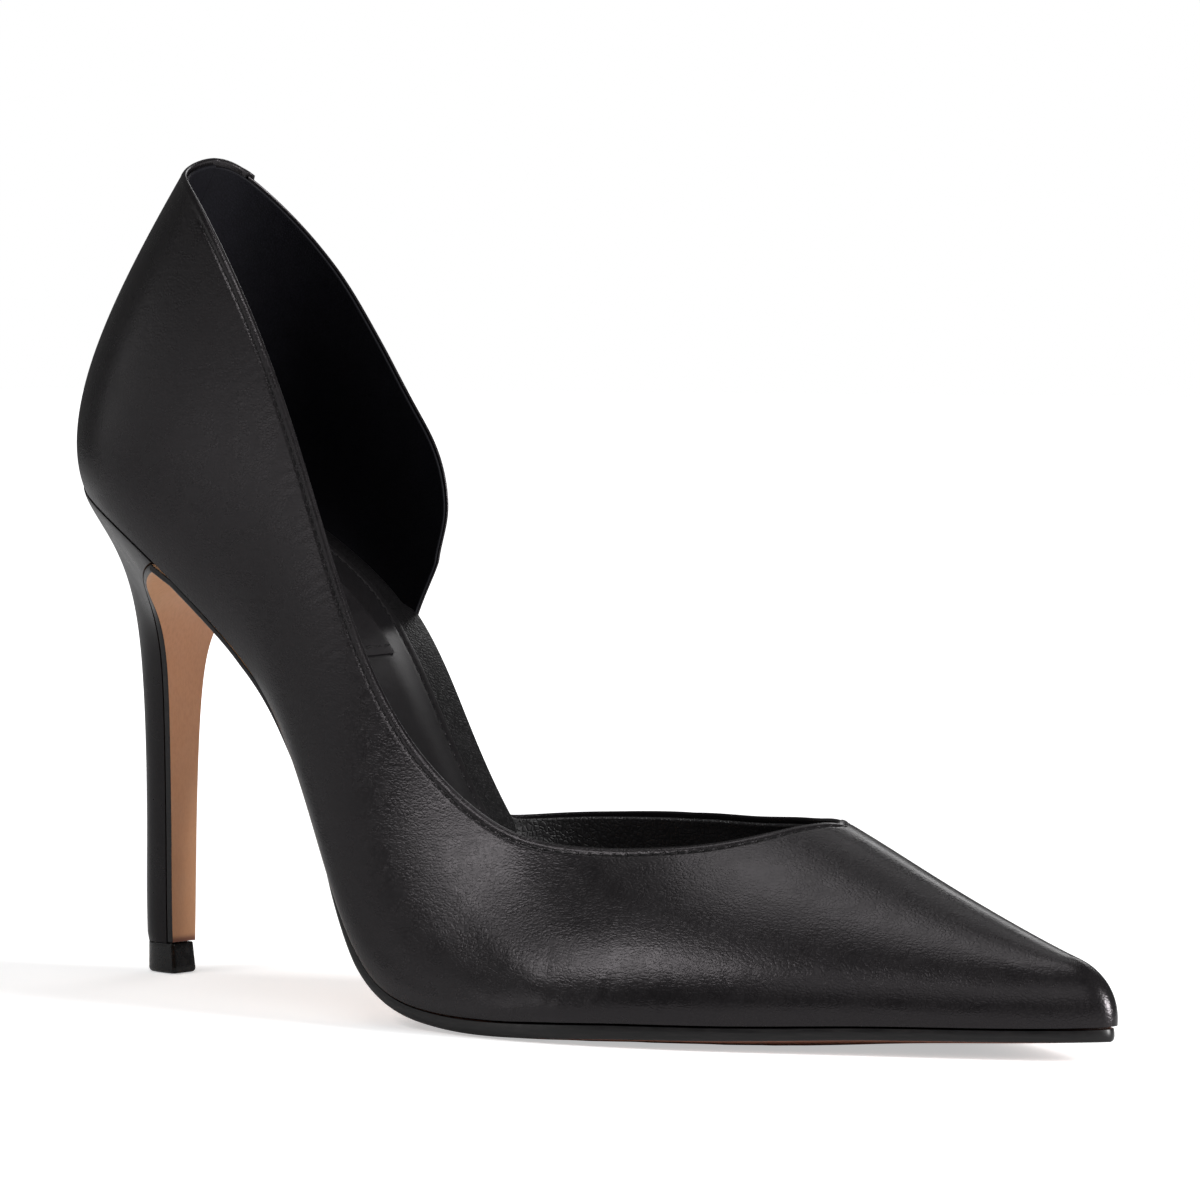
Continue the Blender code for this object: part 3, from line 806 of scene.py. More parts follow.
    def tint(self, source: bpy.types.NodeSocket, colour: Triple) -> None:
        """Mixes another colour over what the shader has.

        Args:
            source: how much of it shows, from 0 to 1.
            colour: the other colour.
        """
        node = self.add("ShaderNodeMix", data_type="RGBA")
        target = self.shader.inputs["Base Color"]
        if target.links:
            self.link(target.links[0].from_socket, node.inputs[6])
        else:
            node.inputs[6].default_value = target.default_value
        node.inputs[7].default_value = (*colour, 1)
        self.link(source, node.inputs[0])
        self.link(node.outputs[2], target)

    def vary_roughness(self, source: bpy.types.NodeSocket, low: float, high: float) -> None:
        """Lets the roughness run from low to high with source."""
        self.link(self.ramp(source, 0.25, 0.75, low, high), self.shader.inputs["Roughness"])


@dataclass(frozen=True)
class CalfLeather:
    """Smooth black calf: fine tight grain, a soft satin gloss and a faint change of tone."""

    name: str = "black_calf"
    colour: Triple = (0.0065, 0.0059, 0.0064)
    grain: float = 0.7
    depth: float = 0.011
    roughness: tuple[float, float] = (0.24, 0.31)
    holes: bool = False
    gloss: float = 0.3

    def material(self) -> bpy.types.Material:
        """Mixes the material.

        Returns:
            The material.
        """
        mix = Recipe(self.name, self.colour, 0.5)
        mix.set(Specular_IOR_Level=self.gloss)
        mix.shader.inputs["Specular Tint"].default_value = (1.0, 0.93, 0.97, 1)
        cells = mix.pebble(self.grain, (0.8, 1.0, 1.3))
        folds = mix.noise(1.1, 3, (0.5, 0.8, 1.5))
        mix.tint(mix.ramp(mix.noise(9, 3), 0.35, 0.7, 0.0, 0.5), (0.0085, 0.0076, 0.008))
        # painted shade: the creases between the grain's cells are darkened
        mix.tint(mix.ramp(cells, 0.45, 0.0, 0.0, 0.6), (0.003, 0.0026, 0.003))
        mix.bump(cells, self.depth)
        mix.bump(folds, self.depth * 2.5)
        mix.bump(mix.noise(0.2, 2), self.depth * 0.5)
        mix.vary_roughness(mix.noise(5, 4), *self.roughness)
        if self.holes:
            ends = mix.math("PINGPONG", mix.seam(0), 0.5)
            hole = mix.math("MULTIPLY", mix.ramp(ends, 0.15, 0.06), mix.ramp(mix.seam(1), 0.34, 0.14))
            # painted shade: the sunk stitch holes are darkened almost to black
            mix.tint(hole, (0.001, 0.001, 0.001))
            mix.bump(hole, -0.08)
        return mix.material


@dataclass(frozen=True)
class GrainedLining:
    """Glossier lining leather with a coarse pebble."""

    name: str = "pebbled_lining"
    colour: Triple = (0.018, 0.017, 0.018)
    grain: float = 0.8
    depth: float = 0.06
    roughness: tuple[float, float] = (0.32, 0.44)
    gloss: float = 0.8

    def material(self) -> bpy.types.Material:
        """Mixes the material.

        Returns:
            The material.
        """
        mix = Recipe(self.name, self.colour, 0.4)
        mix.set(Specular_IOR_Level=self.gloss)
        cells = mix.pebble(self.grain)
        lighter = tuple(1.25 * part for part in self.colour)
        mix.tint(mix.ramp(mix.noise(7, 3), 0.4, 0.7), lighter)
        # painted shade: the creases between the pebble's cells are darkened
        mix.tint(mix.ramp(cells, 0.5, 0.0, 0.0, 0.7), tuple(0.4 * part for part in self.colour))
        mix.bump(cells, self.depth)
        mix.bump(mix.noise(2.5, 3), self.depth * 1.5)
        mix.vary_roughness(mix.noise(3, 3), *self.roughness)
        return mix.material


@dataclass(frozen=True)
class TanSole:
    """Tan sole leather: close fibres along the shoe, lighter high on the heel breast and burnished at its foot."""

    name: str = "tan_sole_leather"
    colour: Triple = (0.58, 0.30, 0.15)

    def material(self) -> bpy.types.Material:
        """Mixes the material.

        Returns:
            The material.
        """
        mix = Recipe(self.name, self.colour, 0.45)
        mix.set(Specular_IOR_Level=0.4, Coat_Weight=0.12, Coat_Roughness=0.3)
        fibres = mix.noise(0.35, 4, (0.25, 1.0, 0.4))
        mix.tint(mix.height(2, 15, 78), (0.70, 0.39, 0.22))
        mix.tint(mix.ramp(fibres, 0.35, 0.75, 0.0, 0.35), (0.48, 0.23, 0.115))
        mix.tint(mix.ramp(mix.noise(14, 2), 0.45, 0.75, 0.0, 0.3), (0.63, 0.35, 0.19))
        mix.tint(mix.ramp(mix.height(2, 7.4, 5.8), 0.0, 1.0, 0.0, 0.9), (0.15, 0.04, 0.02))
        mix.bump(fibres, 0.015)
        mix.bump(mix.noise(0.15, 2), 0.006)
        mix.vary_roughness(mix.noise(4, 3), 0.38, 0.52)
        return mix.material


@dataclass(frozen=True)
class EdgePaint:
    """Black paint on a cut leather edge: satin, with faint layers along the edge."""

    name: str = "black_edge_paint"
    colour: Triple = (0.005, 0.0047, 0.005)

    def material(self) -> bpy.types.Material:
        """Mixes the material.

        Returns:
            The material.
        """
        mix = Recipe(self.name, self.colour, 0.34)
        mix.set(Specular_IOR_Level=0.25, Coat_Weight=0.1, Coat_Roughness=0.25)
        layers = mix.noise(0.5, 3, (0.1, 0.1, 1.6))
        mix.tint(mix.ramp(layers, 0.4, 0.7, 0.0, 0.5), (0.014, 0.012, 0.012))
        mix.bump(layers, 0.02)
        mix.vary_roughness(mix.noise(2, 3), 0.28, 0.42)
        return mix.material


@dataclass(frozen=True)
class MouldedPlastic:
    """Black moulded plastic of the tip, with a fine skin and a lighter lower edge."""

    name: str = "black_tip_plastic"
    colour: Triple = (0.006, 0.006, 0.0063)

    def material(self) -> bpy.types.Material:
        """Mixes the material.

        Returns:
            The material.
        """
        mix = Recipe(self.name, self.colour, 0.25)
        mix.set(Specular_IOR_Level=0.3)
        mix.tint(mix.ramp(mix.height(2, 0.9, 0.1), 0.0, 1.0, 0.0, 0.6), (0.022, 0.022, 0.023))
        mix.bump(mix.noise(0.2, 3), 0.006)
        mix.bump(mix.noise(0.8, 2, (1, 1, 0.4)), 0.01)
        mix.vary_roughness(mix.noise(1.2, 3), 0.18, 0.32)
        return mix.material


@dataclass(frozen=True)
class BondedThread:
    """Black bonded thread, twisted, with a painted highlight that makes it a little lighter on its crowns."""

    name: str = "black_thread"
    colour: Triple = (0.004, 0.0038, 0.004)

    def material(self) -> bpy.types.Material:
        """Mixes the material.

        Returns:
            The material.
        """
        mix = Recipe(self.name, self.colour, 0.6)
        mix.set(Specular_IOR_Level=0.15)
        twist = mix.noise(0.12, 1, (1.4, 1.4, 0.7))
        # painted highlight: the twist is lighter on its crowns, where its relief is highest
        mix.tint(mix.ramp(twist, 0.4, 0.7, 0.0, 0.6), (0.009, 0.0085, 0.009))
        mix.bump(twist, 0.02)
        return mix.material


MATTE_LINING = GrainedLining(name="matte_lining", colour=(0.0032, 0.003, 0.0048), grain=0.5, depth=0.012,
                             roughness=(0.6, 0.75), gloss=0.12)
INSOLE_WRAP = GrainedLining(name="insole_wrap", colour=(0.0048, 0.0045, 0.0048), grain=0.75, depth=0.04,
                            roughness=(0.36, 0.46), gloss=0.12)
SOCK_LEATHER = CalfLeather(name="sock_leather", colour=(0.007, 0.0066, 0.007), grain=0.5, depth=0.006,
                           roughness=(0.3, 0.38), holes=True, gloss=0.2)
PATCH_LEATHER = CalfLeather(name="patch_leather", colour=(0.005, 0.0046, 0.005), grain=0.9, depth=0.004,
                            roughness=(0.45, 0.55))
HEEL_CALF = CalfLeather(name="heel_calf", colour=(0.0075, 0.007, 0.0075), grain=0.5, depth=0.005,
                        roughness=(0.26, 0.33), gloss=0.17)


# The upper


EDGE_ROWS = (0.0, 0.012, 0.045, 0.1, 0.18, 0.28, 0.4, 0.55, 0.75, 1.0, 1.25, 1.5, 1.7, 1.85, 2.0, 2.15, 2.3, 2.55,
             2.9, 3.4, 4.0, 4.8, 5.8, 7.0)
HIDDEN_EDGE_ROWS = EDGE_ROWS[:9]
HIDDEN_PLAIN_ROWS = 9


@dataclass
class Panel:
    """A piece of the last's wall: one ruling for each column, from a foot turn to a top turn and share."""

    last: Last
    side: Array
    foot: Array
    top: Array
    share: Array
    edge_rows: tuple[float, ...]
    plain_rows: int

    def place(self) -> tuple[Array, Array]:
        """Rows that crowd under the topline and are even below it.

        Returns:
            The turn and the share of every point, columns by rows, with the topline last.
        """
        near = 1e-3
        top = self.last.wall(self.top, self.share, self.side)
        back = (1 - near) * self.share
        under = self.last.wall(self.foot * near + self.top * (1 - near), back, self.side)
        climb = (top - under) / near
        along = unit(np.gradient(top, axis=0))
        height = np.linalg.norm(np.cross(climb, along), axis=-1)
        height = smoothed(np.where(self.share > FULL_SHARE, np.linalg.norm(climb, axis=-1), height), 13)
        rows = np.array(self.edge_rows)
        squeeze = np.minimum(1, 0.55 * height / rows[-1])
        sunk = rows[None, :] * (squeeze / np.maximum(height, 1e-6))[:, None]
        rest = np.linspace(0, 1, self.plain_rows + 1)[None, 1:]
        low = sunk[:, -1:] + (1 - sunk[:, -1:]) * rest
        v = 1 - np.concatenate([sunk, low], 1)[:, ::-1]
        return self.foot[:, None] * (1 - v) + self.top[:, None] * v, self.share[:, None] * v


@dataclass
class SeamPath:
    """A stitched line on a surface, cut into whole stitches."""

    points: Array
    out: Array
    pitch: float = 2.2

    def place(self, points: Array) -> Array:
        """Places points on the seam map, by the nearest place of the line.

        Args:
            points: any array of points.

        Returns:
            How many stitches along each is, and how many millimetres off.
        """
        whole = lengths(self.points)[-1]
        off, along = distance_to(points, self.points)
        return np.stack([along * int(whole / self.pitch) / whole, off], -1)


@dataclass
class Columns:
    """The rulings of one sheet on the wall, and how its skins are drawn."""

    last: Last
    side: Array
    foot: Array
    top: Array
    share: Array
    plain_rows: int = 30
    show_outside: bool = True
    round_start: bool = False
    split: float = WHOLE_LENGTH
    path: SeamPath | None = None

    def line(self) -> Array:
        """The topline: the tops of all rulings that end below the ridge."""
        points = self.last.wall(self.top, self.share, self.side)
        return points[self.share < FULL_SHARE]

    def slot(self, turns: Array) -> Array:
        """The finish of each face: the second one ahead of the split."""
        return (station_of(turns[:-1, :-1]) > self.split).astype(int)


def paired(first: Array, second: Array) -> Array:
    """Stacks two rows of point numbers, the shorter one with some of its points repeated.

    Args:
        first: one row.
        second: the other row.

    Returns:
        Both rows, equally long.
    """
    count = max(len(first), len(second))
    rows = [row[np.round(np.linspace(0, len(row) - 1, count)).astype(int)] for row in (first, second)]
    return np.stack(rows)


@dataclass
class Upper:
    """The lasted leather shell: the main leather, the inner quarter under its wrap, linings and stitching.

    Stations are in percent of the length, tapers in radians of turn, and all other sizes in millimetres.
    """

    last: Last
    topline: Topline
    leather: float = 0.85
    wall: float = 1.6
    cutout: float = 30.0
    wrap_end: float = 1.65
    wrap_leather: float = 0.55
    wrap_taper: Triple = (0.04, 0.06, 0.03)
    quarter_sink: float = 0.6
    quarter_leather: float = 0.5
    quarter_trim: float = 0.45
    quarter_ledge: float = 0.4
    lining_drop: float = 0.75
    lining_clearance: float = 0.02
    lining_reach: float = 0.03
    quarter_lining: tuple[float, float] = (1.13, 0.5)
    stitch_inset: float = 1.55
    stitch_sink: float = 0.17
    stitch_tops: tuple[float, float] = (136.0, 139.0)
    groove_depths: tuple[float, float] = (0.13, 0.1)
    groove_width: float = 0.3
    groove_fade: tuple[float, float] = (134.0, 137.0)
    swell_depths: tuple[float, float] = (0.06, 0.05)
    swell: tuple[float, float] = (0.85, 0.4)
    column: float = 0.55
    lining_column: float = 0.9
    crowds: tuple[float, float] = (26.0, 14.0)
    fold_height: float = 0.035
    toe_fold_height: float = 0.03
    flex_height: float = 0.05
    rounded_columns: int = 60
    stitched_rows: int = 24
    paths: list[SeamPath] = field(default_factory=list)

    def turns(self, start: float, end: float, side: Side, column: float, crowd: float = 0.0) -> Array:
        """Turns from one station to another, evenly spaced along the feather line.

        Args:
            start: the first station.
            end: the last station.
            side: the side whose feather line counts.
            column: the spacing in millimetres.
            crowd: how many more columns gather round the throat.

        Returns:
            The turns.
        """
        near, fine = 2.2, np.linspace(turn_of(start), turn_of(end), 4000)
        along = lengths(self.last.feather(fine, side)) / column
        along += crowd * ease(station_of(fine), self.topline.throat - near, self.topline.throat + near)
        count = int(along[-1]) + 1
        return np.interp(np.linspace(0, along[-1], count), along, fine)

    def main_columns(self, column: float, crowd: float, plain_rows: int) -> Columns:
        """The columns of the main leather: wrap, outer side, toe and back along the inner side to the wing.

        Args:
            column: their spacing in millimetres.
            crowd: how many more gather round the throat.
            plain_rows: the rows below the crowded ones.

        Returns:
            The columns.
        """
        throat, wing = self.topline.throat, self.topline.wing[0][0]
        wrap = self.turns(0, self.wrap_end, Side.INNER, column * 0.9)[::-1][:-1]
        rear = self.turns(0, wing, Side.OUTER, column)[:-1]
        middle = self.turns(wing, throat, Side.OUTER, column, crowd)[:-1]
        vamp = self.turns(throat, 100, Side.OUTER, column, crowd)
        inner = np.concatenate([middle, vamp[:-1]])[::-1]
        turn = np.concatenate([wrap, rear, middle, vamp, inner])
        sides = [Side.INNER, Side.OUTER, Side.INNER]
        side = np.repeat(sides, [len(wrap), len(rear) + len(middle) + len(vamp), len(inner)])
        on_wing = (side > 0) & (turn > turn_of(self.cutout))
        share = np.where(on_wing, self.topline.share(turn, side, True), self.topline.share(turn, side, False))
        return Columns(self.last, side, turn, turn, share, plain_rows)

    def even_ridge(self, panel: Panel, out: Array) -> Array:
        """Gives both halves the same outward direction where they meet along the ridge.

        Args:
            panel: the panel with both halves.
            out: the direction out of the wall at each point, changed in place.

        Returns:
            The directions.
        """
        on = np.flatnonzero(panel.share > FULL_SHARE)
        outer, inner = on[panel.side[on] < 0], on[panel.side[on] > 0]
        if not len(outer) or not len(inner):
            return out
        for half, other in ((outer, inner), (inner, outer)):
            gaps = np.abs(panel.top[half][:, None] - panel.top[other][None])
            match = other[gaps.argmin(1)]
            near = gaps.min(1) < 1e-9
            out[half[near], -1] = unit(out[half[near], -1] + out[match[near], -1])
        out[on, -1, 1] = 0
        out[on, -1] = unit(out[on, -1])
        return out

    def level_line(self, columns: Columns, line: Array, level: float) -> Array:
        """The share on each column where the distance from the topline reaches a level.

        Args:
            columns: the rulings.
            line: the topline's points.
            level: the distance below it.

        Returns:
            The shares.
        """
        deepest, steps = 7, 60
        top, share, side = columns.top, columns.share, columns.side
        reach = np.minimum(deepest * level / np.maximum(self.section(top, share, side), 1e-6), 1)
        shares = share[:, None] * (1 - reach[:, None] * np.linspace(1, 0, steps))
        off, _ = distance_to(self.last.wall(top[:, None], shares, side[:, None]), line)
        found = np.array([np.interp(-level, -o, s) for o, s in zip(off, shares)])
        return np.where(off[:, -1] > level, share, found)

    def section(self, turn: Array, share: Array, side: Array) -> Array:
        """The straight height of each column, in millimetres."""
        return np.linalg.norm(self.last.wall(turn, share, side) - self.last.wall(turn, 0 * share, side), axis=-1)

    def creases(self, points: Array, below: Array, along: Array) -> Array:
        """Soft lasting folds: sine ripples, each kept to its own place by a bell or an ease.

        They are short folds below the topline at the waist, folds low on the toe and wide ones at the ball.

        Args:
            points: the points of the skin.
            below: the distance of each under the topline.
            along: how far along the topline each is.

        Returns:
            The height of the folds at each point.
        """
        x, y, z = np.moveaxis(points, -1, 0)
        outer = y < 0
        near = ease(below, 1.8, 3.2) * (1 - ease(below, 6.0, 11.0))
        pull = np.sin(along * 2.9 + 0.8 * np.sin(along * 0.37)) * (0.5 + 0.5 * np.sin(along * 0.61 + 1.0))
        waist = self.fold_height * near * hump(x, 62, 26) * outer * pull
        low = hump(x, 150, 22) * (1 - ease(z, 8, 20)) * outer
        toe = self.toe_fold_height * low * np.sin(x * 1.7 + 2.0 * np.sin(z * 0.4)) * np.sin(x * 0.31)
        ball = self.flex_height * hump(x, 128, 14) * outer * np.sin((x * 0.8 + z * 1.1) * 0.55)
        return waist + toe + ball

    def shell(self, name: str, finishes: Sequence[bpy.types.Material], columns: Columns, sink: float,
              thick: Array, relief: Callable[[Array, Array, Array], Array] | None = None) -> bpy.types.Object:
        """A sheet of leather on the wall: two skins that meet in a round edge, closed at foot and ends.

        The outside lies sink below the wall plus a quarter circle of the distance from the edge, and the
        inside is its mirror image through the middle of the leather.

        Args:
            name: the piece's name.
            finishes: its materials.
            columns: its rulings, edges and slots.
            sink: how far under the last's wall its outside lies.
            thick: the leather's thickness on each column.
            relief: what is added to the outside's depth, from the points, the distance below and the place
                along the topline.

        Returns:
            The piece.
        """
        side = columns.side
        line = columns.line()
        body = Body(self.last)
        skins = []
        for outside in (True, False):
            fine = outside == columns.show_outside
            rows, plain = (EDGE_ROWS, columns.plain_rows) if fine else (HIDDEN_EDGE_ROWS, HIDDEN_PLAIN_ROWS)
            panel = Panel(self.last, side, columns.foot, columns.top, columns.share, rows, plain)
            turns, shares = panel.place()
            points = self.last.wall(turns, shares, side[:, None])
            out = self.even_ridge(panel, self.last.normal(turns, shares, side[:, None]))
            below, along = distance_to(points, line)
            edge = below.copy()
            if columns.round_start:
                first = slice(self.rounded_columns)
                edge[first] = np.minimum(edge[first], distance_to(points[first], points[0])[0])
            depth = roll(edge, thick[:, None] / 2)
            if fine and relief:
                depth = depth + relief(points, below, along) * ease(edge, 0.15, 0.6)
            depth = depth if outside else thick[:, None] - depth
            seam = np.full((*below.shape, 2), FAR_FROM_SEAM)
            if fine and columns.path is not None:
                last_rows = (slice(None), slice(-self.stitched_rows, None))
                seam[last_rows] = columns.path.place(points[last_rows] - out[last_rows] * sink)
            skins.append(body.grid(points - out * (sink + depth)[..., None], columns.slot(turns), seam))
        body.skin(np.stack([skins[0][:, 0], skins[1][:, 0]]))
        for end in (0, -1):
            body.skin(paired(skins[0][end], skins[1][end]))
        return body.object(name, finishes, 60)

    def main_leather(self, finish: bpy.types.Material) -> bpy.types.Object:
        """The main leather, with a groove under its stitches, a low swell above them and soft folds.

        Args:
            finish: its material.

        Returns:
            The piece.
        """
        columns = self.main_columns(self.column, self.crowds[0], 34)
        turn, side = columns.top, columns.side
        wrapped = (side > 0) & (turn < turn_of(self.cutout))
        wrap, full = turn_of(self.wrap_end), self.quarter_sink + self.quarter_leather
        start, thinner, end = self.wrap_taper
        places = [0, start, wrap - thinner, wrap - end]
        wraps = np.interp(turn, places, [self.leather, full, full, self.wrap_leather])
        columns.round_start = True
        columns.path = self.stitch_path(columns, ~wrapped, 0.0, self.stitch_tops[0])

        def relief(points: Array, below: Array, along: Array) -> Array:
            """Depth: a bell-shaped groove along the stitches, less a bell-shaped swell and the folds.

            Args:
                points: the points of the skin.
                below: the distance of each under the topline.
                along: how far along it each is.

            Returns:
                The depth at each point.
            """
            stitched = 1 - ease(points[..., 2], *self.groove_fade)
            groove = stitched * self.groove_depths[0] * hump(below, self.stitch_inset, self.groove_width)
            return groove - self.swell_depths[0] * hump(below, *self.swell) - self.creases(points, below, along)

        return self.shell("upper_leather", [finish], columns, 0.0, np.where(wrapped, wraps, self.leather), relief)

    def quarter_columns(self, start: float, trim: float) -> Columns:
        """The inner quarter, cut away to the insole: rulings fan out so that they cross its steep front edge.

        Args:
            start: the turn where it starts.
            trim: how far its edge lies below the topline.

        Returns:
            The columns.
        """
        end = turn_of(self.topline.quarter[-1][0])
        fine, spacing = np.linspace(start, end, 3000), 0.5
        ones = np.ones(len(fine))
        along = lengths(self.last.wall(fine, self.topline.share(fine, ones, False), ones))
        count = int(along[-1] / spacing)
        top, side = np.interp(np.linspace(0, along[-1], count), along, fine), np.ones(count)
        share = np.maximum(self.topline.share(top, side, False), 0)
        height = self.section(top, share, side)
        share = share * (1 - np.minimum(trim / np.maximum(height, 1e-6), 1))
        foot_end, fan = 0.97, 1.25
        foot = start + (end * foot_end - start) * (1 - (1 - np.linspace(0, 1, count)) ** fan)
        return Columns(self.last, side, foot, top, share)

    def quarter(self, finish: bpy.types.Material) -> bpy.types.Object:
        """The inner quarter's leather, which starts under the wrap of the main leather.

        Args:
            finish: its material.

        Returns:
            The piece.
        """
        columns = self.quarter_columns(turn_of(self.wrap_end) - self.wrap_taper[2], self.quarter_trim)
        columns.path = self.stitch_path(columns, columns.share > 0, self.quarter_sink, self.stitch_tops[1])

        def relief(points: Array, below: Array, along: Array) -> Array:
            """Depth: a bell-shaped groove along the stitches, less a bell-shaped swell.

            Args:
                points: the points of the skin.
                below: the distance of each under the topline.
                along: how far along it each is.

            Returns:
                The depth at each point.
            """
            groove = self.groove_depths[1] * hump(below, self.stitch_inset, self.groove_width)
            return groove - self.swell_depths[1] * hump(below, *self.swell)

        thick = np.full(len(columns.top), self.quarter_leather)
        return self.shell("quarter_leather", [finish], columns, self.quarter_sink, thick, relief)

    def linings(self, matte: bpy.types.Material, pebbled: bpy.types.Material) -> list[bpy.types.Object]:
        """The linings, whose cut edge shows as a thin ledge a little below the folded topline.

        Args:
            matte: the finish of heel and waist.
            pebbled: the finish of the forepart.

        Returns:
            The lining of the main leather and the quarter's.
        """
        columns = self.main_columns(self.lining_column, self.crowds[1], 22)
        keep = ~((columns.side > 0) & (columns.top < turn_of(self.cutout)))
        turn, side, share = columns.top[keep], columns.side[keep], columns.share[keep]
        columns = Columns(self.last, side, turn, turn, share, 22, False, split=self.cutout)
        main_line = self.main_columns(self.column, self.crowds[0], 34).line()
        cut = self.level_line(columns, main_line, self.lining_drop)
        low = cut < FULL_SHARE
        cut[low] = smoothed(cut[low], 9)
        columns.share = cut
        thick = np.full(len(turn), self.wall - self.leather + self.lining_reach)
        sink = self.leather + self.lining_clearance
        main = self.shell("upper_lining", [matte, pebbled], columns, sink, thick)
        columns = self.quarter_columns(0.002, self.quarter_trim + self.quarter_ledge)
        columns.show_outside = False
        sink, thickness = self.quarter_lining
        thick = np.full(len(columns.top), thickness)
        return [main, self.shell("quarter_lining", [matte], columns, sink, thick)]

    def stitch_path(self, columns: Columns, used: Array, sink: float, top: float) -> SeamPath:
        """The line that the stitches follow, at their inset below a topline. It is kept for the stitches.

        Args:
            columns: the rulings that it crosses.
            used: which rulings count.
            sink: how far under the wall the leather lies.
            top: the height past which there are no stitches.

        Returns:
            The path.
        """
        share = self.level_line(columns, columns.line(), self.stitch_inset)
        lowest = 0.02
        use = used & (share < FULL_SHARE) & (share > lowest)
        turn, side, share = columns.top[use], columns.side[use], share[use]
        points, out = self.last.wall(turn, share, side), self.last.normal(turn, share, side)
        low = points[:, 2] < top
        path = SeamPath(points[low] - out[low] * sink, out[low])
        self.paths.append(path)
        return path

    def stitches(self, finish: bpy.types.Material) -> bpy.types.Object:
        """The two rows of topline stitches, on the main leather and on the quarter.

        Args:
            finish: the thread's material.

        Returns:
            The piece.
        """
        body, thread = Body(self.last), Thread()
        total = sum(thread.run(body, path.points - path.out * self.stitch_sink, path.out) for path in self.paths)
        LOG.info("topline stitches: %d", total)
        return body.object("topline_stitches", [finish], 60)

    def build(self) -> None:
        """Builds and dresses every piece of the upper."""
        calf, thread = CalfLeather(holes=True).material(), BondedThread().material()
        dress(self.main_leather(calf), "upper_leather", "upper")
        dress(self.quarter(calf), "upper_leather")
        for piece in self.linings(MATTE_LINING.material(), GrainedLining().material()):
            dress(piece, "upper_leather")
        dress(self.stitches(thread), "upper_leather")


# Footbed


SOCK_ROWS = (0.0, 0.02, 0.08, 0.18, 0.3, 0.45, 0.7, 0.95, 1.15, 1.3, 1.4, 1.5, 1.6, 1.7, 1.85, 2.1, 2.5, 3.2, 4.1,
             5.2, 6.5, 8.0)


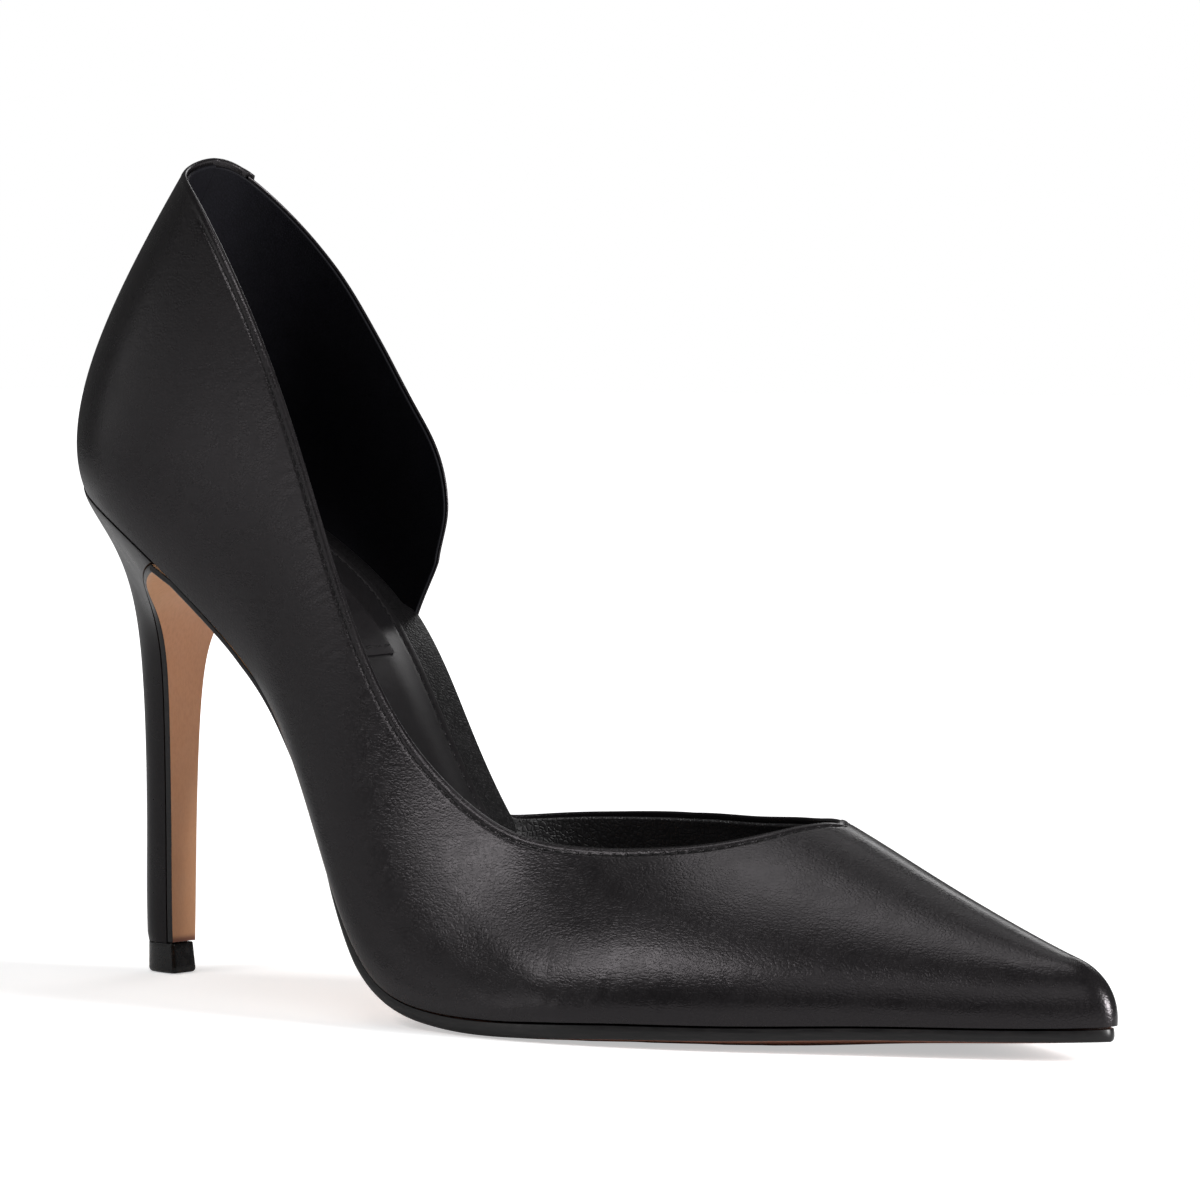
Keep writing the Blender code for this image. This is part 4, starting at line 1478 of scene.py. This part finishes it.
@dataclass
class Footbed:
    """The covered insole board, the sock lining on it and the plain patch under the heel of the foot."""

    last: Last
    notch: tuple[float, float] = (23.55, 35.4)
    board: float = 2.2
    board_ends: tuple[float, float] = (1.2, 98.2)
    board_rounding: tuple[float, float] = (0.9, 0.35)
    wall_room: float = 2.1
    free_room: float = 0.2
    margin: float = 6.8
    sock_ends: tuple[float, float] = (4.5, 94.0)
    sock_lift: float = 0.05
    sock_foot: float = 0.02
    sock_edge: float = 0.5
    sock_rounding: float = 0.35
    sock_crown: float = 1.0
    sock_fill: float = 0.9
    seam_ends: tuple[float, float] = (5.5, 88.0)
    seam_inset: float = 1.5
    seam_pitch: float = 2.2
    patch: Triple = (13.0, 26.4, 9.6)
    patch_skins: tuple[float, float] = (0.35, -0.1)
    patch_rounding: float = 0.3
    patch_seam_lift: float = 0.38

    def rooms(self, turn: Array) -> Array:
        """How far the board's inner edge stands in from the feather line: close to it all along the cut-out.

        Args:
            turn: the angle round the foot.

        Returns:
            The distance in millimetres.
        """
        start, end = turn_of(self.notch[0]), turn_of(self.notch[1])
        free = ease(turn, start - 0.035, start - 0.012) * (1 - ease(turn, end + 0.012, end + 0.035))
        return self.wall_room + (self.free_room - self.wall_room) * free

    def loop(self, height: float, top: float, bottom: float, inner: int = 15) -> tuple[Array, Array, Array]:
        """A flat closed outline with two rounded corners at each edge.

        Args:
            height: its height.
            top: the radius of its upper corners.
            bottom: the radius of its lower corners.
            inner: how many points its top has.

        Returns:
            For each point, its place across from -1 to 1, how far it is drawn in and its height.
        """
        arc = np.linspace(0, pi / 2, 6)
        half = [(1.0, top * (1 - np.sin(a)), height - top * (1 - np.cos(a))) for a in arc[:-1]]
        half += [(1.0, bottom * (1 - np.cos(a)), bottom * (1 - np.sin(a))) for a in arc]
        flat = [(a, top, height) for a in np.linspace(-1, 1, inner)[1:-1]]
        under = [(a, bottom, 0.0) for a in np.linspace(1, -1, 7)[1:-1]]
        other = [(-a, extra, h) for a, extra, h in half[::-1]]
        loop = np.array(flat + half + under + other + flat[:1])
        return loop[:, 0], loop[:, 1], loop[:, 2]

    def insole(self, finish: bpy.types.Material) -> bpy.types.Object:
        """The board wrapped in pebbled leather: the underside of the last, grown up, with a rounded edge.

        Args:
            finish: its material.

        Returns:
            The piece.
        """
        turns = np.linspace(*turn_of(self.board_ends), 360)[:, None]
        across, extra, height = self.loop(self.board, *self.board_rounding)
        room = self.wall_room + extra
        points = self.last.underside(turns, across, (room, self.rooms(turns) + extra), -height)
        body = Body(self.last)
        numbers = body.grid(points)
        for end in (0, -1):
            middle = body.add(np.broadcast_to(points[end].mean(0), points[end].shape).copy())
            body.skin(np.stack([numbers[end], middle]))
        return body.object("insole_cover", [finish], 60)

    def pad(self, inset: Array) -> Array:
        """The sock's height over the board: a rounded cut edge, a stitched groove and a soft crown."""
        height = self.sock_edge - roll(inset, self.sock_rounding) + self.sock_crown * ease(inset, 1.6, 9.0)
        return height - 0.2 * hump(inset, self.seam_inset, 0.32)

    def sock(self, finish: bpy.types.Material) -> bpy.types.Object:
        """The sock lining: rows gather at its edge, where it is stitched down.

        Args:
            finish: its material.

        Returns:
            The piece.
        """
        turns = np.linspace(*turn_of(self.sock_ends), 340)
        insets, inner = np.array(SOCK_ROWS), self.last.feather(turns, Side.INNER)
        wide = (inner - self.last.feather(turns, Side.OUTER))[:, 1] - 2 * self.margin
        squeeze = np.minimum(1, 0.45 * np.maximum(wide, 0.2) / insets[-1])[:, None]
        edge = insets * squeeze
        ends = np.minimum(lengths(inner), lengths(inner[::-1])[::-1])
        middle, side = np.linspace(-1, 1, 17)[1:-1], np.ones(len(insets))
        across = np.broadcast_to(np.concatenate([-side, middle, side]), (len(turns), len(middle) + 2 * len(side)))
        extra = np.concatenate([edge, edge[:, -1:] * np.ones(len(middle)), edge[:, ::-1]], 1)
        lift = self.board + self.sock_lift + self.pad(np.minimum(extra, ends[:, None]))
        room = self.margin + extra
        top = self.last.underside(turns[:, None], across, (room, room), -lift)
        low = self.last.underside(turns[:, None], across, (room, room), -(self.board + self.sock_foot))
        seam = np.full((*top.shape[:2], 2), FAR_FROM_SEAM)
        rows = len(insets)
        for part, edge_side in ((slice(0, rows), Side.OUTER), (slice(-rows, None), Side.INNER)):
            seam[:, part] = self.sock_path(edge_side).place(top[:, part])
        body = Body(self.last)
        body.hem(body.grid(top, 0, seam), body.grid(low))
        return body.object("sock_cover", [finish], 60)

    def sock_path(self, side: Side) -> SeamPath:
        """The line along which the sock is stitched down.

        Args:
            side: the edge that it follows.

        Returns:
            The line.
        """
        turns = np.linspace(*turn_of(self.seam_ends), 600)
        room = np.array(self.margin + self.seam_inset)
        lift = self.board + self.sock_lift + self.pad(np.array(self.seam_inset))
        line = self.last.underside(turns, np.array(side), (room, room), -lift)
        return SeamPath(line, -self.last.down(turns), self.seam_pitch)

    def sock_seam(self, finish: bpy.types.Material) -> bpy.types.Object:
        """The stitches that hold the sock down, along both of its edges.

        Args:
            finish: the thread's material.

        Returns:
            The piece.
        """
        body = Body(self.last)
        thread = Thread(pitch=self.seam_pitch, gap=0.7, radius=0.14, proud=0.02)
        for side in Side:
            path = self.sock_path(side)
            thread.run(body, path.points, path.out)
        return body.object("sock_stitches", [finish], 60)

    def patch_grid(self, lift: float, rows: int, columns: int) -> Array:
        """A grid over the patch's place on the crowned sock.

        Args:
            lift: how far it lies above the sock.
            rows: its points along the shoe.
            columns: its points across.

        Returns:
            The points.
        """
        start, end, half_width = self.patch
        turns = np.linspace(turn_of(start), turn_of(end), rows)[:, None]
        y = np.linspace(-1, 1, columns)[None, :] * half_width
        wide = (self.last.feather(turns, Side.INNER) - self.last.feather(turns, Side.OUTER))[..., 1]
        across = y * 2 / wide
        inset = wide / 2 - np.abs(y) - self.margin
        past_seam = 2.5
        height = self.board + self.sock_lift + self.pad(np.maximum(inset, past_seam)) + lift
        zero = np.zeros(1)
        return self.last.underside(turns, across, (zero, zero), -height)

    def label(self, finish: bpy.types.Material) -> bpy.types.Object:
        """The bare patch: a thin piece with a rounded edge that follows the sock.

        Args:
            finish: its material.

        Returns:
            The piece.
        """
        rows, columns = 60, 40
        top, low = (self.patch_grid(lift, rows, columns) for lift in self.patch_skins)
        middles = (top[:, columns // 2], top[rows // 2])
        along, across = (np.minimum(lengths(line), lengths(line[::-1])[::-1]) for line in middles)
        inset = np.minimum(along[:, None], across[None, :])
        body = Body(self.last)
        body.hem(body.grid(top - UP * roll(inset, self.patch_rounding)[..., None]), body.grid(low))
        return body.object("label_patch_cover", [finish], 60)

    def label_stitches(self, finish: bpy.types.Material) -> bpy.types.Object:
        """A stitched line across each end of the patch, sewn through the sock.

        Args:
            finish: the thread's material.

        Returns:
            The piece.
        """
        body = Body(self.last)
        rows, columns, from_end = 61, 41, 2
        grid = self.patch_grid(self.patch_seam_lift, rows, columns)
        turns = np.linspace(*turn_of(self.patch[:2]), rows)
        thread = Thread(pitch=2.3, gap=0.35, radius=0.2, proud=0.02)
        for row in (from_end, rows - 1 - from_end):
            out = np.broadcast_to(-self.last.down(turns[row: row + 1]), (columns, 3))
            thread.run(body, grid[row], out, 0.12)
        return body.object("patch_stitches", [finish], 60)

    def build(self) -> None:
        """Builds and dresses the footbed."""
        cover, smooth, bare = INSOLE_WRAP.material(), SOCK_LEATHER.material(), PATCH_LEATHER.material()
        thread = BondedThread().material()
        dress(self.insole(cover), "insole_leather", "insole")
        sock = dress(self.sock(smooth), "sock_leather", "sock_lining")
        dress(self.sock_seam(thread), "sock_leather")
        dress(self.label(bare), "patch_leather", "label_patch")
        dress(self.label_stitches(thread), "patch_leather")


# Heel and sole


@dataclass
class Heel:
    """The slim leather-wrapped stiletto and its tip."""

    last: Last
    gap: float = 0.3
    breast: float = 15.2
    rows: Rows = (
        (5.52, 15.4, 7.0, 5.9), (9.0, 15.4, 7.1, 6.1), (25.0, 15.5, 7.1, 6.6), (45.0, 15.8, 7.5, 7.8),
        (60.0, 16.2, 8.3, 9.0), (92.0, 16.8, 9.5, 10.0),
    )
    back_sweep: tuple[float, float] = (17.0, 1.6)
    front_sweep: Rows = ((4.5, 1.0), (7.0, 1.15))
    lift_height: float = 5.4
    lift_top: Triple = (16.7, 8.1, 5.7)
    lift_bottom: Triple = (17.3, 8.7, 6.1)
    foot_rounding: float = 0.25
    lift_corner: float = 0.35
    lift_profile: Rows = (
        (0.0, 0.7), (0.05, 0.45), (0.2, 0.2), (0.45, 0.05), (0.75, 0.0), (1.5, 0.0), (3.0, 0.0), (4.5, 0.0),
        (5.2, 0.0), (5.36, 0.03), (5.46, 0.1), (5.5, 0.25),
    )

    def __post_init__(self) -> None:
        """Makes the shaft's curves over its height."""
        rows = np.array(self.rows)
        self.shaft = [Spline(rows[:, 0], rows[:, column]) for column in (1, 2, 3)]

    def section(self, height: Array, angle: Array, face: Array) -> Array:
        """Points of the shaft's D section: round its back by angle, and straight along its front by face.

        Args:
            height: the height of each.
            angle: the angle from the back's middle, where face isn't a number.
            face: from -1 to 1 across the front.

        Returns:
            The points.
        """
        front, depth, width = (curve(height) for curve in self.shaft)
        flat = np.isnan(face)
        x = np.where(flat, front - depth * np.maximum(np.cos(angle), 0) ** 0.9, front)
        y = np.where(flat, width / 2 * np.sin(angle), width / 2 * face)
        return np.stack(np.broadcast_arrays(x, y, height), -1)

    def swept(self, start: Array, height: Array, angle: Array, face: Array) -> Array:
        """Leads points of the seat down to the shaft: their flare dies away as exp(-(depth / reach) **
        power).

        Args:
            start: the points of the seat.
            height: the height that each is led to.
            angle: the angle of each, as for section.
            face: the place of each across the front, as for section.

        Returns:
            The points.
        """
        share = np.where(np.isnan(face), np.abs(angle) / (pi / 2), 1.0)
        sunk = np.maximum(start[..., 2] - height, 0)
        here = self.section(height, angle, face)
        flare = start - self.section(start[..., 2], angle, face)
        for axis, sweep in enumerate(self.front_sweep):
            reach, power = (back + (front - back) * share for back, front in zip(self.back_sweep, sweep))
            here[..., axis] += flare[..., axis] * np.exp(-((sunk / reach) ** power))
        return here

    def seat(self, turns: Array, across: Array) -> Array:
        """The cupped seat, a gap below the last's underside."""
        zero = np.zeros(1)
        return self.last.underside(turns[:, None], across[None, :], (zero, zero), np.array(self.gap))

    def breast_face(self, heights: Array, across: Array) -> Array:
        """The front face, as a grid of heights by across."""
        start = self.seat(np.array([turn_of(self.breast)]), across)
        return self.swept(start, heights, np.zeros(len(across)), across)

    def shape(self, finish: bpy.types.Material) -> bpy.types.Object:
        """The heel: the cupped seat, and its outline swept down to the D-shaped shaft.

        Args:
            finish: its material.

        Returns:
            The piece.
        """
        turns = np.linspace(0, turn_of(self.breast), 60)
        across = np.linspace(-1, 1, 25)
        seat = self.seat(turns, across)
        body = Body(self.last)
        body.grid(seat)
        loop = np.concatenate([seat[::-1, 0], seat[1:, -1], seat[-1, 1:-1][::-1], seat[-1:, 0]])
        back = 2 * len(turns) - 1
        angle = np.concatenate([lengths(loop[:back]) / lengths(loop[:back])[-1] * pi - pi / 2,
                                np.zeros(len(across) - 2), [-pi / 2]])
        face = np.full(len(loop), np.nan)
        face[back:-1] = across[1:-1][::-1]
        t = np.concatenate([np.linspace(0, 1, 90) ** 1.7, [1.0]])
        low = self.rows[0][0]
        heights = loop[:, 2] + (low - loop[:, 2]) * t[:, None]
        walls = self.swept(loop[None], heights, angle[None], face[None])
        under = np.maximum(heights - low, 0)
        inset = roll(under, self.foot_rounding)
        middle = np.array([np.mean([walls[-1, :, 0].min(), walls[-1, :, 0].max()]), 0.0])
        spoke = walls[..., :2] - middle
        walls[..., :2] -= unit(spoke) * np.where(under < self.foot_rounding, inset, 0)[..., None]
        body.grid(walls)
        body.cap(walls[-1])
        return body.object("heel_wrap", [finish], 45)

    def top_lift(self, finish: bpy.types.Material) -> bpy.types.Object:
        """The tip: a D that spreads a little to the floor, its edges rounded off.

        Args:
            finish: its material.

        Returns:
            The piece.
        """
        angle = np.linspace(-pi / 2, pi / 2, 49)
        rings, corner = [], self.lift_corner
        for height, pull in self.lift_profile:
            share = height / self.lift_height
            front, depth, width = (a + (b - a) * share for a, b in zip(self.lift_bottom, self.lift_top))
            x = front - pull - (depth - 2 * pull) * np.cos(angle) ** 0.9
            y = (width / 2 - pull) * np.sin(angle)
            face = np.linspace(y[-1], y[0], 15)[1:-1]
            edge = np.abs(face) - (abs(y[0]) - corner)
            fx = front - pull - np.where(edge > 0, corner - np.sqrt(np.maximum(corner**2 - edge**2, 0)), 0)
            x = np.concatenate([np.minimum(x, front - pull - corner), fx, [min(x[0], front - pull - corner)]])
            y = np.concatenate([y, face, [y[0]]])
            rings.append(np.stack([x, y, np.full_like(x, height)], -1))
        body = Body(self.last)
        body.grid(np.array(rings))
        for end in (0, -1):
            body.cap(rings[end])
        return body.object("tip", [finish], 45)

    def build(self) -> None:
        """Builds and dresses the heel and its tip."""
        dress(self.shape(HEEL_CALF.material()), "heel_leather", "heel")
        dress(self.top_lift(MouldedPlastic().material()), "lift_plastic", "top_lift")


@dataclass
class Sole:
    """The leather sole: tan below, black at its edge, turned down over the front of the heel as a flap."""

    last: Last
    heel: Heel
    thickness: Rows = ((15.0, 1.2), (36.0, 1.2), (48.0, 2.1), (75.0, 2.1), (100.0, 2.1))
    tuck: Rows = (
        (15.0, 0.6), (25.0, 0.0), (30.0, 0.8), (34.0, 1.9), (38.0, 0.9), (42.0, 0.3), (50.0, 0.4), (56.0, 0.0),
        (92.0, 0.0), (100.0, 0.6),
    )
    flap: float = 1.2
    flap_foot: float = 5.75
    corner: float = 0.4
    over_points: int = 9
    fold_room: float = 2.0
    ground_from: float = 40.0

    def outline(self) -> tuple[Array, Array, Array, Array]:
        """The outline of a section, once round.

        Returns:
            For each point, its place across from -1 to 1, how far it is drawn in and its share of the
            depth, and for each face its band.
        """
        over = [(a, 0.2, 0.0) for a in np.linspace(-1, 1, self.over_points)]
        edge = [(1.0, 0.04, 0.05), (1.0, 0.0, 0.18), (1.0, -0.04, 0.4), (1.0, -0.02, 0.62), (1.0, 0.06, 0.82),
                (1.0, 0.2, 0.94), (1.0, self.corner, 1.0)]
        under = [(a, self.corner, 1.0) for a in np.linspace(1, -1, 25)[1:-1]]
        other = [(-a, extra, w) for a, extra, w in edge[::-1]]
        loop = np.array(over + edge + under + other + over[:1])
        bands = [Band.HIDDEN, Band.EDGE, Band.GROUND, Band.EDGE]
        counts = (len(over) - 1, len(edge), len(under) + 1, len(edge))
        return loop[:, 0], loop[:, 1], loop[:, 2], np.repeat(bands, counts)

    def shape(self, finishes: Sequence[bpy.types.Material]) -> bpy.types.Object:
        """The sole and its flap, as one closed outline carried from the toe to the foot of the heel.

        Args:
            finishes: the materials of the tan leather and of its edge.

        Returns:
            The piece.
        """
        across, extra, share, bands = self.outline()
        turns = np.linspace(pi, turn_of(self.heel.breast + self.fold_room), 380)[:, None]
        stations = station_of(turns)
        edge = table(self.thickness)(turns)
        tuck = np.interp(stations, *np.array(self.tuck).T)
        zero = np.zeros(1)
        draw = np.maximum(tuck + extra, -0.05)
        flat = self.last.underside(turns, across, (draw, draw), self.heel.gap + edge * share)
        flat[..., 2] = np.where(stations > self.ground_from, np.maximum(flat[..., 2], 0), flat[..., 2])

        top = self.last.underside(np.array([turn_of(self.heel.breast)]), across, (zero, zero), zero + self.heel.gap)
        half = (top[:, 1].max() - top[:, 1].min()) / 2
        narrow = np.clip(across * (1 - extra / half), -1, 1)
        corner = self.heel.seat(np.array([turn_of(self.heel.breast)]), narrow)[0]
        fall = np.linspace(0, 1, 140)[1:, None] ** 1.6
        heights = corner[:, 2] + (self.flap_foot - corner[:, 2]) * fall
        face = self.heel.breast_face(heights, narrow)
        middle = np.concatenate([corner[None], face])[:, self.over_points // 2]
        run, climb = np.gradient(middle[:, 0])[1:], np.gradient(middle[:, 2])[1:]
        ahead = np.stack([-climb, 0 * run, run], -1) / np.hypot(run, climb)[:, None]
        depth = self.heel.gap + self.flap * share
        down = self.last.down(turns[-1])[0]
        front = face + ahead[:, None] * depth[None, :, None]
        mitre = (down + ahead[0]) / (1 + np.dot(down, ahead[0]))
        fold = corner + mitre * depth[:, None]
        points = np.concatenate([flat, fold[None], front])
        body = Body(self.last)
        numbers = body.add(points)
        body.skin(numbers, (bands == Band.EDGE).astype(int))
        body.cap(points[-1])
        return body.object("outsole_leather", finishes, 40)

    def build(self) -> None:
        """Builds and dresses the sole."""
        dress(self.shape([TanSole().material(), EdgePaint().material()]), "sole_leather", "outsole")


# Studio


@dataclass(frozen=True)
class Lamp:
    """A soft rectangular lamp aimed at the shoe: angles in degrees, sizes in metres and power in watts."""

    name: str
    azimuth: float
    elevation: float
    width: float
    height: float
    power: float


@dataclass
class Studio:
    """A pale floor that runs out to white, soft lamps and the camera."""

    target: Triple = (0.0048, 0.0019, 0.0705)
    azimuth: float = 40.0
    elevation: float = 2.6
    distance: float = 1.0
    focal: float = 176.52
    lamp_distance: float = 1.3
    lamps: tuple[Lamp, ...] = (
        Lamp("overhead", -45.0, 80.0, 0.5, 0.5, 2.6),
        Lamp("ridge", 207.0, 62.0, 0.4, 0.4, 0.6),
        Lamp("strip", -11.0, 42.0, 0.55, 0.18, 3.5),
        Lamp("strip_end", -27.0, 34.0, 0.35, 0.16, 1.8),
        Lamp("low_left", -56.0, 10.0, 1.1, 0.45, 0.8),
        Lamp("low_front", -28.0, 2.0, 0.35, 0.35, 0.75),
        Lamp("fill", 30.0, 30.0, 0.6, 0.5, 1.3),
        Lamp("breast", 100.0, 14.0, 0.4, 0.5, 30.0),
        Lamp("back", 200.0, 30.0, 0.5, 0.4, 1.6),
    )
    floor_glow: float = 0.48
    room: float = 0.08

    def direction(self, azimuth: float, elevation: float) -> Vector:
        """The direction from the object to a viewer at these angles, in degrees."""
        a, e = radians(azimuth), radians(elevation)
        return Vector((sin(a) * cos(e), -cos(a) * cos(e), sin(e)))

    def aim(self, thing: bpy.types.Object, at: Vector) -> None:
        """Turns a lamp or the camera towards a point."""
        thing.rotation_euler = (at - thing.location).to_track_quat("-Z", "Y").to_euler()

    def camera(self) -> None:
        """Places the camera at the photograph's angle."""
        data = bpy.data.cameras.new("camera")
        data.lens, data.sensor_width = self.focal, 36.0
        data.clip_start, data.clip_end = 0.05, 50.0
        camera = bpy.data.objects.new("camera", data)
        bpy.context.scene.collection.objects.link(camera)
        camera.location = Vector(self.target) + self.direction(self.azimuth, self.elevation) * self.distance
        self.aim(camera, Vector(self.target))
        bpy.context.scene.camera = camera

    def light(self) -> None:
        """Adds the lamps, all equally far from the shoe."""
        for lamp in self.lamps:
            data = bpy.data.lights.new(lamp.name, "AREA")
            data.shape, data.size, data.size_y, data.energy = "RECTANGLE", lamp.width, lamp.height, lamp.power
            thing = bpy.data.objects.new(lamp.name, data)
            bpy.context.scene.collection.objects.link(thing)
            away = self.direction(lamp.azimuth, lamp.elevation) * self.lamp_distance
            thing.location = Vector(self.target) + away
            self.aim(thing, Vector(self.target))

    def floor(self) -> None:
        """Lays a wide pale floor just under the shoe."""
        size, low = 8.0, -0.0001
        data = bpy.data.meshes.new("floor")
        corners = np.array([(-size, -size, low), (size, -size, low), (size, size, low), (-size, size, low)])
        data.from_pydata(corners, [], [(0, 1, 2, 3)])
        floor = bpy.data.objects.new("floor", data)
        bpy.context.scene.collection.objects.link(floor)
        mix = Recipe("pale_floor", (0.85, 0.85, 0.855), 0.8)
        mix.set(Specular_IOR_Level=0.0)
        mix.tint(mix.ramp(mix.noise(60, 3), 0.4, 0.7, 0.0, 0.3), (0.84, 0.835, 0.83))
        mix.shader.inputs["Emission Color"].default_value = (1, 1, 1, 1)
        reach = mix.add("ShaderNodeVectorMath", operation="LENGTH")
        mix.link(mix.place.outputs[0], reach.inputs[0])
        far = mix.ramp(reach.outputs["Value"], 250.0, 900.0, self.floor_glow, 1.2)
        seen = mix.math("MULTIPLY", far, mix.add("ShaderNodeLightPath").outputs["Is Camera Ray"])
        mix.link(seen, mix.shader.inputs["Emission Strength"])
        mix.material.cycles.emission_sampling = "NONE"
        data.materials.append(mix.material)

    def world(self) -> None:
        """Makes the room dim for the leather and white behind it."""
        world = bpy.data.worlds.new("room")
        world.use_nodes = True
        bpy.context.scene.world = world
        tree = world.node_tree
        tree.nodes.clear()
        out = tree.nodes.new("ShaderNodeOutputWorld")
        mix = tree.nodes.new("ShaderNodeMixShader")
        path = tree.nodes.new("ShaderNodeLightPath")
        for socket, strength in zip(mix.inputs[1:], (self.room, 1.0)):
            back = tree.nodes.new("ShaderNodeBackground")
            back.inputs[0].default_value = (1, 1, 1, 1)
            back.inputs[1].default_value = strength
            tree.links.new(back.outputs[0], socket)
        tree.links.new(path.outputs["Is Camera Ray"], mix.inputs[0])
        tree.links.new(mix.outputs[0], out.inputs[0])

    def build(self) -> None:
        """Sets up the whole studio."""
        bpy.context.scene.view_settings.view_transform = "Standard"
        bpy.context.scene.view_settings.look = "None"
        self.camera()
        self.light()
        self.floor()
        self.world()


def main() -> None:
    """Builds the shoe piece by piece, then its studio."""
    logging.basicConfig(level=logging.INFO, format="%(message)s")
    last = Last()
    heel = Heel(last)
    for part in (Upper(last, Topline()), Footbed(last), heel, Sole(last, heel), Studio()):
        LOG.info("building the %s", type(part).__name__.lower())
        part.build()


if __name__ == "__main__":
    main()
